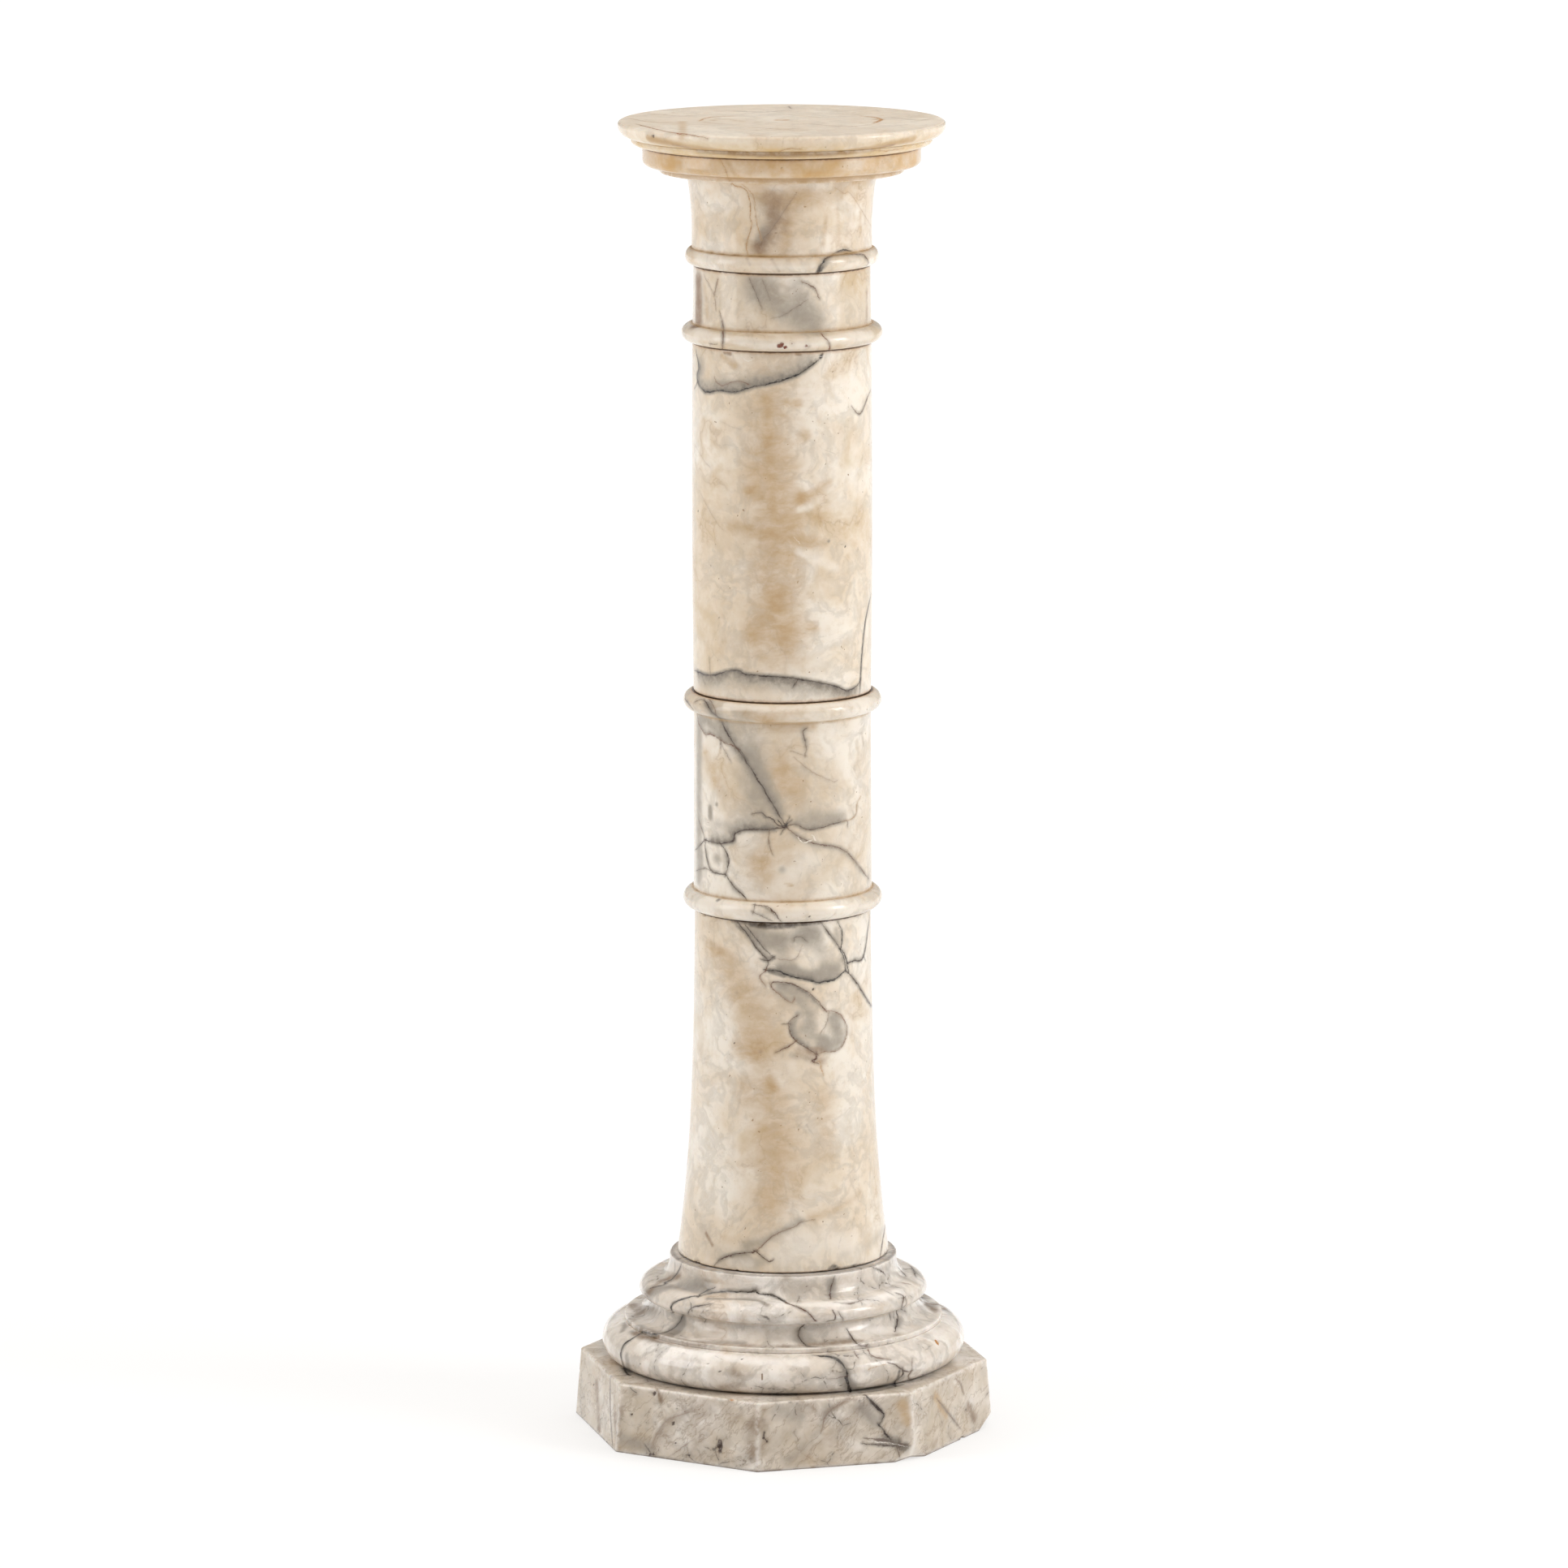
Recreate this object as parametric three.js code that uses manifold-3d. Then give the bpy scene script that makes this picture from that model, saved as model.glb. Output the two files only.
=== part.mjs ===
// A turned marble column pedestal: a round display slab on a stack of turned blocks, over a moulded base
// with an eight-sided plinth. Every block is one solid. Units are millimetres and +Z is up. The origin is
// at the centre of the plinth's underside, and two flats of the plinth face along X and two along Y.

import * as THREE from 'three';
import { mergeVertices } from 'three/addons/utils/BufferGeometryUtils.js';
import Module from 'manifold-3d';

// Driving dimensions
// Heights are measured from the floor, and radii from the axis of the column.

const SLAB_TOP = 1016;
const BED_JOINT = 0.3;
const SIDES = 48;
const ARC_STEPS = 5;
const RING_STEPS = 6;

const PLINTH = { sides: 8, height: 53, acrossTop: 295, acrossBottom: 303.4 };
const LOWER_TORUS = { foot: 127.3, swell: 141.1, swellLevel: 67.3, crown: 122.0, crownLevel: 83.2 };
const FILLET = { radius: 123.6, level: 87.0 };
const SCOTIA = { lip: 119.6, throat: 103.8, throatLevel: 101.6 };
const UPPER_TORUS = { swell: 111.9, swellLevel: 107.2, crown: 96.0, crownLevel: 117.8 };
const SHOULDER = { radius: 88.3, springLevel: 131.6, level: 135.6, arris: 1.2 };

const LOWER_SHAFT = { foot: 82.2, neck: 68.0, taper: 3.6, flarePower: 3.5, arris: 1.5 };
const RING_FOUR = { bottomLevel: 408.3, topLevel: 424.2, swell: 76.9, below: 68.0, above: 68.9 };
const RING_THREE = { bottomLevel: 563.3, topLevel: 577.9, swell: 76.3, below: 68.2, above: 68.6 };
const UPPER_SHAFT = { foot: 68.4, neck: 68.6, entasis: 0.7 };
const RING_TWO = { bottomLevel: 847.4, topLevel: 861.8, swell: 76.9, below: 68.6, above: 68.4 };
const RING_ONE = { bottomLevel: 906.4, topLevel: 919.6, swell: 73.9, below: 67.6, above: 68.9 };

const NECK = { waist: 68.8, waistLevel: 931, top: 73.1, flarePower: 2.2 };
const UNDER_RING = { radius: 93.0, bottomLevel: 977.3 };
const ABACUS = { radius: 106.1, bottomLevel: 982.5, topLevel: 997.0, arris: 4.2 };
const BEAD = { foot: 106.6, swell: 114.8, swellLevel: 1001.5, topLevel: 1003.4 };
const OVOLO = { foot: 113.2, swell: 124.9, swellLevel: 1013.4, arris: 121.5 };

// A chip takes the foot off a corner of the plinth: how far in along the floor, and how far up the corner.
const CHIPS = [
  { corner: 22.5, reach: 7, rise: 17 },
  { corner: 67.5, reach: 9, rise: 12 },
];

const MARBLE_FINISH = { roughness: 0.28, metalness: 0 };
const COLOURS = {
  slab: 0xd9c7a8,
  capital: 0xd6bf9b,
  drum: 0xe2d6c4,
  shaft: 0xe4d8c5,
  base: 0xd8d0c6,
};

// Profile curves
// A profile is a list of [radius, level] points that runs up the outside of a block.

// A quarter of an ellipse between two points. It leaves the first point either level or upright.
function quarter([r0, z0], [r1, z1], leaving, steps = ARC_STEPS) {
  const points = [];
  for (let i = 1; i <= steps; i += 1) {
    const turn = (Math.PI / 2) * (i / steps);
    const early = Math.sin(turn);
    const late = 1 - Math.cos(turn);
    const across = leaving === 'level' ? early : late;
    const up = leaving === 'level' ? late : early;
    points.push([r0 + (r1 - r0) * across, z0 + (z1 - z0) * up]);
  }
  return points;
}

// A half-round ring that stands proud of the shaft, from its lower crease to its upper one.
function ring({ bottomLevel, topLevel, swell, below, above }) {
  const points = [];
  const middle = (bottomLevel + topLevel) / 2;
  const halfHeight = (topLevel - bottomLevel) / 2;
  for (let i = 0; i <= RING_STEPS; i += 1) {
    const turn = Math.PI * (i / RING_STEPS - 0.5);
    const shaft = below + (above - below) * (i / RING_STEPS);
    points.push([shaft + (swell - shaft) * Math.cos(turn), middle + halfHeight * Math.sin(turn)]);
  }
  return points;
}

// Points on a stretch whose radius is a function of its height, from 0 at the bottom to 1 at the top.
function stretch(bottom, top, radiusAt, steps) {
  const points = [];
  for (let i = 0; i <= steps; i += 1) {
    const height = i / steps;
    points.push([radiusAt(height), bottom + (top - bottom) * height]);
  }
  return points;
}

// Turned solids

// A closed body of revolution from an outside profile, capped flat at both ends.
function turned(profile) {
  const bottom = profile[0][1];
  const top = profile[profile.length - 1][1];
  const outline = [[0, bottom], ...profile, [0, top]];
  const geometry = new THREE.LatheGeometry(outline.map(([r, z]) => new THREE.Vector2(r, z)), SIDES);
  geometry.rotateX(Math.PI / 2);
  return geometry;
}

function topSlab() {
  const bed = ABACUS.topLevel + BED_JOINT;
  return turned([
    [BEAD.foot, bed],
    ...quarter([BEAD.foot, bed], [BEAD.swell, BEAD.swellLevel], 'level', 3),
    [BEAD.swell, BEAD.topLevel],
    [OVOLO.foot, BEAD.topLevel],
    ...quarter([OVOLO.foot, BEAD.topLevel], [OVOLO.swell, OVOLO.swellLevel], 'level'),
    ...quarter([OVOLO.swell, OVOLO.swellLevel], [OVOLO.arris, SLAB_TOP], 'upright', 2),
  ]);
}

function capital() {
  const neckHeight = UNDER_RING.bottomLevel - NECK.waistLevel;
  const neckFlare = (height) => NECK.waist + (NECK.top - NECK.waist) * height ** NECK.flarePower;
  const shoulder = ABACUS.radius - ABACUS.arris;
  return turned([
    ...ring({ ...RING_ONE, bottomLevel: RING_ONE.bottomLevel + BED_JOINT }),
    ...stretch(NECK.waistLevel, NECK.waistLevel + neckHeight, neckFlare, 5),
    [UNDER_RING.radius, UNDER_RING.bottomLevel],
    [UNDER_RING.radius, ABACUS.bottomLevel],
    [shoulder, ABACUS.bottomLevel],
    ...quarter([shoulder, ABACUS.bottomLevel], [ABACUS.radius, ABACUS.bottomLevel + ABACUS.arris], 'level', 3),
    [ABACUS.radius, ABACUS.topLevel],
  ]);
}

function neckingDrum() {
  return turned([
    ...ring({ ...RING_TWO, bottomLevel: RING_TWO.bottomLevel + BED_JOINT }),
    [RING_ONE.below, RING_ONE.bottomLevel],
  ]);
}

function upperShaft() {
  const taper = (height) => UPPER_SHAFT.foot + (UPPER_SHAFT.neck - UPPER_SHAFT.foot) * height;
  const swell = (height) => taper(height) + UPPER_SHAFT.entasis * Math.sin(Math.PI * height);
  return turned(stretch(RING_THREE.topLevel + BED_JOINT, RING_TWO.bottomLevel, swell, 6));
}

function middleDrum() {
  return turned([
    ...ring({ ...RING_FOUR, bottomLevel: RING_FOUR.bottomLevel + BED_JOINT }),
    ...ring(RING_THREE),
  ]);
}

// The shaft tapers evenly and flares near its foot, which has a worn round arris.
function lowerShaft() {
  const { foot, neck, taper, flarePower, arris } = LOWER_SHAFT;
  const bed = SHOULDER.level + BED_JOINT;
  const flare = foot - neck - taper;
  const radiusAt = (height) => neck + taper * (1 - height) + flare * (1 - height) ** flarePower;
  return turned([
    [foot - arris, bed],
    ...stretch(bed + arris, RING_FOUR.bottomLevel, radiusAt, 8),
  ]);
}

// Base block

// The turned mouldings of the base, carried down inside the plinth so that the two make one block.
function baseMouldings() {
  const crown = [LOWER_TORUS.crown, LOWER_TORUS.crownLevel];
  const swell = [LOWER_TORUS.swell, LOWER_TORUS.swellLevel];
  const upperSwell = [UPPER_TORUS.swell, UPPER_TORUS.swellLevel];
  const upperCrown = [UPPER_TORUS.crown, UPPER_TORUS.crownLevel];
  const throat = [SCOTIA.throat, SCOTIA.throatLevel];
  return turned([
    [LOWER_TORUS.foot, PLINTH.height / 2],
    [LOWER_TORUS.foot, PLINTH.height],
    ...quarter([LOWER_TORUS.foot, PLINTH.height], swell, 'level', 4),
    ...quarter(swell, crown, 'upright', 4),
    [FILLET.radius, LOWER_TORUS.crownLevel],
    [FILLET.radius, FILLET.level],
    [SCOTIA.lip, FILLET.level],
    ...quarter([SCOTIA.lip, FILLET.level], throat, 'level', 4),
    ...quarter(throat, upperSwell, 'level', 3),
    ...quarter(upperSwell, upperCrown, 'upright', 4),
    ...quarter(upperCrown, [SHOULDER.radius, SHOULDER.springLevel], 'level', 4),
    [SHOULDER.radius, SHOULDER.level - SHOULDER.arris],
    [SHOULDER.radius - SHOULDER.arris, SHOULDER.level],
  ]);
}

// The plinth narrows a little towards its top.
function plinthBlock() {
  const acrossCorners = 1 / Math.cos(Math.PI / PLINTH.sides);
  const top = (PLINTH.acrossTop / 2) * acrossCorners;
  const bottom = (PLINTH.acrossBottom / 2) * acrossCorners;
  const halfFlat = Math.PI / PLINTH.sides;
  const geometry = new THREE.CylinderGeometry(top, bottom, PLINTH.height, PLINTH.sides, 1, false, halfFlat);
  geometry.rotateX(Math.PI / 2);
  geometry.translate(0, 0, PLINTH.height / 2);
  return geometry;
}

// A large block whose one face lies along the broken face of a chip. The corner angle is measured from
// the front, -Y, towards the right, +X.
function chipCutter({ corner, reach, rise }) {
  const size = 80;
  const cornerRadius = PLINTH.acrossBottom / 2 / Math.cos(Math.PI / PLINTH.sides);
  const slope = Math.atan2(reach, rise);
  const cutter = new THREE.BoxGeometry(size, size, size);
  cutter.translate(size / 2, 0, 0);
  cutter.rotateY(slope);
  cutter.translate(cornerRadius - reach, 0, 0);
  cutter.rotateZ(THREE.MathUtils.degToRad(corner - 90));
  return cutter;
}

// Joining and cutting

const wasm = await Module();
wasm.setup();

function toSolid(geometry) {
  const bare = geometry.clone();
  bare.deleteAttribute('normal');
  bare.deleteAttribute('uv');
  const merged = mergeVertices(bare, 1e-4);
  const vertProperties = new Float32Array(merged.attributes.position.array);
  const triVerts = new Uint32Array(merged.index.array);
  return new wasm.Manifold(new wasm.Mesh({ numProp: 3, vertProperties, triVerts }));
}

function toGeometry(solid) {
  const { vertProperties, triVerts } = solid.getMesh();
  const geometry = new THREE.BufferGeometry();
  geometry.setAttribute('position', new THREE.BufferAttribute(vertProperties, 3));
  geometry.setIndex(new THREE.BufferAttribute(triVerts, 1));
  geometry.computeVertexNormals();
  return geometry;
}

function base() {
  let block = toSolid(plinthBlock()).add(toSolid(baseMouldings()));
  for (const chip of CHIPS) {
    block = block.subtract(toSolid(chipCutter(chip)));
  }
  return toGeometry(block);
}

// The pedestal

function piece(name, geometry, colour) {
  const mesh = new THREE.Mesh(geometry, new THREE.MeshStandardMaterial({ color: colour, ...MARBLE_FINISH }));
  mesh.name = name;
  return mesh;
}

const pedestal = new THREE.Group();
pedestal.add(
  piece('top_slab', topSlab(), COLOURS.slab),
  piece('capital', capital(), COLOURS.capital),
  piece('necking_drum', neckingDrum(), COLOURS.drum),
  piece('upper_shaft', upperShaft(), COLOURS.shaft),
  piece('middle_drum', middleDrum(), COLOURS.drum),
  piece('lower_shaft', lowerShaft(), COLOURS.shaft),
  piece('base', base(), COLOURS.base),
);

export default pedestal;
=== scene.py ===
"""Veined marble column pedestal, dressed for rendering.

The frame holds seven turned blocks that stand on each other. This script gives each block a finely turned
and worn skin of the same form, and a marble with that block's own veins, clouds and stains. Sizes are in
millimetres in the classes and in metres in Blender. Angles are in degrees, from the front, -Y, towards the
right, +X.
"""

from __future__ import annotations

import logging
import math
import random
from dataclasses import dataclass
from enum import Enum
from typing import Callable, Iterable, Sequence

import bmesh
import bpy
import numpy as np
from mathutils import Matrix, Vector
from mathutils.bvhtree import BVHTree

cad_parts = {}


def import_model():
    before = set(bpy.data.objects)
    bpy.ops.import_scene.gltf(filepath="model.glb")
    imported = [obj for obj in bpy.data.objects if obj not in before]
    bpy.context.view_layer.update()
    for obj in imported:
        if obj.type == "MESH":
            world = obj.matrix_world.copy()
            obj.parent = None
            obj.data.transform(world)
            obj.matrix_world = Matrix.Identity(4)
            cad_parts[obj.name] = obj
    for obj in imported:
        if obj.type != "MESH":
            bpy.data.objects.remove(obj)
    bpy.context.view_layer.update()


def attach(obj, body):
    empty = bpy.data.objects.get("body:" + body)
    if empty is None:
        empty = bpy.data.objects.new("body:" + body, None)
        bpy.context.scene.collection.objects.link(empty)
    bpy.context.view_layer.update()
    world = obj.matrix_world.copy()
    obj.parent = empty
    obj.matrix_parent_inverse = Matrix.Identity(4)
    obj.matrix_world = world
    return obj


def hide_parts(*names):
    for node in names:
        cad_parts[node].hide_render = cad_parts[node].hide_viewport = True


LOG = logging.getLogger("pedestal")
MM = 0.001
BODY = "root"
BED_JOINT = 0.3

Pixel = tuple[float, float]
Path = tuple[Pixel, ...]
Colour = tuple[float, float, float]


def srgb(red: int, green: int, blue: int) -> Colour:
    """Turns a colour given as 0 to 255 on a screen into linear light.

    Args:
        red: Red, 0 to 255.
        green: Green, 0 to 255.
        blue: Blue, 0 to 255.

    Returns:
        The linear colour.
    """

    def linear(value: int) -> float:
        """Takes the screen's curve off one channel."""
        part = value / 255
        return part / 12.92 if part <= 0.04045 else ((part + 0.055) / 1.055) ** 2.4

    return linear(red), linear(green), linear(blue)


class Value:
    """A node's output socket, which works in Python arithmetic by adding Math nodes."""

    def __init__(self, graph: Graph, socket: bpy.types.NodeSocket) -> None:
        """Keeps the socket and the graph that its maths is added to."""
        self.graph = graph
        self.socket = socket

    def math(self, operation: str, *others: Value | float) -> Value:
        """Adds a Math node with this value as its first input.

        Args:
            operation: The Math node's operation.
            *others: The other inputs, in order.

        Returns:
            The node's result.
        """
        inputs = {0: self} | {index + 1: other for index, other in enumerate(others)}
        return self.graph.add("ShaderNodeMath", {"operation": operation}, inputs)

    def __add__(self, other: Value | float) -> Value:
        """Returns the sum."""
        return self.math("ADD", other)

    __radd__ = __add__

    def __mul__(self, other: Value | float) -> Value:
        """Returns the product."""
        return self.math("MULTIPLY", other)

    __rmul__ = __mul__

    def __sub__(self, other: Value | float) -> Value:
        """Returns the difference."""
        return self.math("SUBTRACT", other)

    def __rsub__(self, other: float) -> Value:
        """Returns the difference from a number."""
        return self.math("MULTIPLY_ADD", -1.0, other)

    def __truediv__(self, other: Value | float) -> Value:
        """Returns the quotient."""
        return self.math("DIVIDE", other)

    def __pow__(self, other: float) -> Value:
        """Returns the power."""
        return self.math("POWER", other)

    def __abs__(self) -> Value:
        """Returns the size without its sign."""
        return self.math("ABSOLUTE")

    def at_least(self, other: Value | float) -> Value:
        """Returns the larger of the two."""
        return self.math("MAXIMUM", other)

    def at_most(self, other: Value | float) -> Value:
        """Returns the smaller of the two."""
        return self.math("MINIMUM", other)

    def step(self, low: float, high: float) -> Value:
        """Rises smoothly from 0 at low to 1 at high, or falls where low is above high.

        Args:
            low: The value that gives 0.
            high: The value that gives 1.

        Returns:
            The smooth step.
        """
        settings = {"interpolation_type": "SMOOTHSTEP"}
        inputs = {"Value": self, "From Min": low, "From Max": high}
        return self.graph.add("ShaderNodeMapRange", settings, inputs)


class Graph:
    """A node tree that is built from Python expressions."""

    def __init__(self, tree: bpy.types.NodeTree) -> None:
        """Keeps the tree."""
        self.tree = tree

    @classmethod
    def clear(cls, holder: bpy.types.Material | bpy.types.World) -> Graph:
        """Empties the nodes of a material or a world, and returns its graph."""
        holder.use_nodes = True
        holder.node_tree.nodes.clear()
        return cls(holder.node_tree)

    def show(self, shader: Value, kind: str = "ShaderNodeOutputMaterial") -> None:
        """Links a shader to the output."""
        output = self.tree.nodes.new(kind)
        self.tree.links.new(shader.socket, output.inputs["Surface"])

    def add(self, kind: str, settings: dict | None = None, inputs: dict | None = None,
            out: str = "") -> Value:
        """Adds a node.

        Args:
            kind: The node's type.
            settings: The node's settings, set first.
            inputs: Values or links, by the name or the number of the socket.
            out: The name of the output that is wanted, or nothing for the first.

        Returns:
            The wanted output.
        """
        node = self.tree.nodes.new(kind)
        for name, setting in (settings or {}).items():
            setattr(node, name, setting)
        for key, value in (inputs or {}).items():
            socket = self.pick(node.inputs, key)
            if isinstance(value, Value):
                self.tree.links.new(value.socket, socket)
            elif isinstance(value, (list, tuple)) and socket.type == "RGBA":
                socket.default_value = (*value, 1.0)
            else:
                socket.default_value = value
        return Value(self, self.pick(node.outputs, out or 0))

    @staticmethod
    def pick(sockets: Iterable[bpy.types.NodeSocket], key: str | int) -> bpy.types.NodeSocket:
        """Finds a socket in use by its name or its number among those in use.

        Args:
            sockets: A node's inputs or outputs.
            key: The name or the number.

        Returns:
            The socket.
        """
        usable = [socket for socket in sockets if socket.enabled]
        if isinstance(key, int):
            return usable[key]
        return next(socket for socket in usable if socket.name == key)

    def split(self, vector: Value) -> tuple[Value, Value, Value]:
        """Returns the three parts of a vector."""
        first = self.add("ShaderNodeSeparateXYZ", inputs={"Vector": vector})
        outputs = first.socket.node.outputs
        return first, Value(self, outputs[1]), Value(self, outputs[2])

    def join(self, x: Value | float, y: Value | float, z: Value | float) -> Value:
        """Returns a vector of three parts."""
        return self.add("ShaderNodeCombineXYZ", inputs={"X": x, "Y": y, "Z": z})

    def vector(self, operation: str, *inputs: Value | Sequence[float]) -> Value:
        """Adds a Vector Math node.

        Args:
            operation: The node's operation.
            *inputs: Its inputs, in order.

        Returns:
            The node's result.
        """
        return self.add("ShaderNodeVectorMath", {"operation": operation}, dict(enumerate(inputs)))

    def noise(self, place: Value, size: float, detail: float = 3.0, rough: float = 0.5) -> Value:
        """Adds a noise.

        Args:
            place: The coordinates, in any unit.
            size: The size of its largest lumps, in that unit.
            detail: How many finer layers it has.
            rough: How strong the finer layers are.

        Returns:
            A value of about 0 to 1.
        """
        inputs = {"Vector": place, "Scale": 1 / size, "Detail": detail, "Roughness": rough}
        return self.add("ShaderNodeTexNoise", None, inputs)

    def mix(self, first: Value | Colour, second: Value | Colour, share: Value | float) -> Value:
        """Mixes two colours.

        Args:
            first: The colour at share 0.
            second: The colour at share 1.
            share: How much of the second colour.

        Returns:
            The mixed colour.
        """
        settings = {"data_type": "RGBA", "clamp_factor": True}
        return self.add("ShaderNodeMix", settings, {"Factor": share, "A": first, "B": second})


class Recipe(Graph):
    """A Geometry Nodes tree with named inputs that can be put on an object."""

    def __init__(self, name: str, inputs: dict[str, str]) -> None:
        """Makes an empty tree.

        Args:
            name: The tree's name.
            inputs: The socket type of each named input after the geometry.
        """
        super().__init__(bpy.data.node_groups.new(name, "GeometryNodeTree"))
        self.keys = {}
        self.tree.interface.new_socket("Geometry", in_out="INPUT", socket_type="NodeSocketGeometry")
        for label, kind in inputs.items():
            item = self.tree.interface.new_socket(label, in_out="INPUT", socket_type=kind)
            self.keys[label] = item.identifier
        self.tree.interface.new_socket("Geometry", in_out="OUTPUT", socket_type="NodeSocketGeometry")
        self.source = self.tree.nodes.new("NodeGroupInput")

    def input(self, label: str) -> Value:
        """Returns one of the tree's inputs by its name."""
        return Value(self, self.source.outputs[label])

    def attribute(self, name: str, kind: str = "FLOAT") -> Value:
        """Reads a named attribute.

        Args:
            name: The attribute's name.
            kind: Its data type.

        Returns:
            The attribute.
        """
        return self.add("GeometryNodeInputNamedAttribute", {"data_type": kind}, {"Name": name})

    def store(self, geometry: Value, name: Value | str, value: Value, kind: str = "FLOAT",
              domain: str = "POINT") -> Value:
        """Stores a named attribute.

        Args:
            geometry: The geometry that it is stored on.
            name: The attribute's name.
            value: The values.
            kind: Their data type.
            domain: The domain that holds them.

        Returns:
            The geometry with the attribute.
        """
        settings = {"data_type": kind, "domain": domain}
        inputs = {"Geometry": geometry, "Name": name, "Value": value}
        return self.add("GeometryNodeStoreNamedAttribute", settings, inputs)

    def finish(self, geometry: Value) -> None:
        """Links the geometry that the tree gives."""
        output = self.tree.nodes.new("NodeGroupOutput")
        self.tree.links.new(geometry.socket, output.inputs["Geometry"])

    def put_on(self, thing: bpy.types.Object, **values: object) -> None:
        """Adds the tree to an object as a modifier, with its inputs set.

        Args:
            thing: The object.
            **values: The inputs, by name, with an underscore for a space.
        """
        modifier = thing.modifiers.new(self.tree.name, "NODES")
        modifier.node_group = self.tree
        for label, value in values.items():
            modifier[self.keys[label.replace("_", " ")]] = value


@dataclass(frozen=True)
class PhotoCamera:
    """The camera of the photograph. A pixel is counted in the square photograph from its upper left corner."""

    frame: int = 1932
    focal: float = 10370.0
    distance: float = 6378.0
    height: float = 1658.8
    azimuth: float = -15.5
    tilt: float = 10.266
    pan: float = 0.010
    roll: float = -0.075
    sensor: float = 36.0

    def place(self) -> Vector:
        """Returns the camera's place, in metres."""
        turn = math.radians(self.azimuth)
        across = self.distance * MM
        return Vector((across * math.sin(turn), -across * math.cos(turn), self.height * MM))

    def axes(self) -> tuple[Vector, Vector, Vector]:
        """Returns the camera's directions to the right, up and forward."""
        turn = math.radians(self.azimuth - self.pan)
        tilt = math.radians(self.tilt)
        roll = math.radians(self.roll)
        forward = Vector((-math.sin(turn) * math.cos(tilt), math.cos(turn) * math.cos(tilt), -math.sin(tilt)))
        level = Vector((math.cos(turn), math.sin(turn), 0.0))
        rise = level.cross(forward)
        right = level * math.cos(roll) + rise * math.sin(roll)
        up = rise * math.cos(roll) - level * math.sin(roll)
        return right, up, forward

    def ray(self, pixel: Pixel) -> Vector:
        """Returns the direction in which the camera sees a pixel."""
        right, up, forward = self.axes()
        middle = self.frame / 2
        across = pixel[0] - middle
        down = pixel[1] - middle
        return (forward * self.focal + right * across - up * down).normalized()

    def build(self) -> bpy.types.Object:
        """Makes Blender's camera.

        Returns:
            The camera object, set as the scene's camera.
        """
        data = bpy.data.cameras.new("photo_camera")
        data.sensor_width = self.sensor
        data.lens = self.focal / self.frame * self.sensor
        data.clip_end = 100.0
        camera = bpy.data.objects.new("photo_camera", data)
        right, up, forward = self.axes()
        turned = Matrix((right, up, -forward)).transposed().to_4x4()
        camera.matrix_world = Matrix.Translation(self.place()) @ turned
        bpy.context.scene.collection.objects.link(camera)
        bpy.context.scene.camera = camera
        return camera


@dataclass(frozen=True)
class Station:
    """One point of a block's outline, which runs from the axis below, up the outside, to the axis above."""

    radius: float
    level: float
    soft: float = 0.0
    facet: float = 0.0


def quarter(start: Station, end: Station, level_first: bool, steps: int = 12) -> list[Station]:
    """Makes the points of a quarter of an ellipse after its start.

    Args:
        start: Where it starts.
        end: Where it ends, which keeps its own softness.
        level_first: Whether it leaves the start level, and not upright.
        steps: How many points it has.

    Returns:
        The points, the end among them.
    """
    points = []
    for index in range(1, steps + 1):
        turn = math.pi / 2 * index / steps
        early, late = math.sin(turn), 1 - math.cos(turn)
        across, up = (early, late) if level_first else (late, early)
        radius = start.radius + (end.radius - start.radius) * across
        level = start.level + (end.level - start.level) * up
        points.append(Station(radius, level))
    points[-1] = end
    return points


@dataclass(frozen=True)
class Ring:
    """A half-round ring that stands proud of the shaft."""

    bottom: float
    top: float
    swell: float
    below: float
    above: float
    crease: float = 0.5

    def stations(self, lift: float = 0.0, steps: int = 20) -> list[Station]:
        """Makes the ring's outline from its lower crease to its upper one.

        Args:
            lift: How far the lower crease is raised for a bed joint.
            steps: How many stretches the outline has.

        Returns:
            The points.
        """
        bottom = self.bottom + lift
        middle, half = (bottom + self.top) / 2, (self.top - bottom) / 2
        points = []
        for index in range(steps + 1):
            turn = math.pi * (index / steps - 0.5)
            shaft = self.below + (self.above - self.below) * index / steps
            radius = shaft + (self.swell - shaft) * math.cos(turn)
            points.append(Station(radius, middle + half * math.sin(turn)))
        points[-1] = Station(points[-1].radius, points[-1].level, self.crease)
        return points


def stretch(bottom: float, top: float, radius_at: Callable[[float], float], steps: int = 24) -> list[Station]:
    """Makes the points of a stretch whose radius is a function of its height.

    Args:
        bottom: The level at height 0.
        top: The level at height 1.
        radius_at: The radius for a height from 0 to 1.
        steps: How many stretches it has.

    Returns:
        The points.
    """
    heights = [index / steps for index in range(steps + 1)]
    return [Station(radius_at(height), bottom + (top - bottom) * height) for height in heights]


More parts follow.
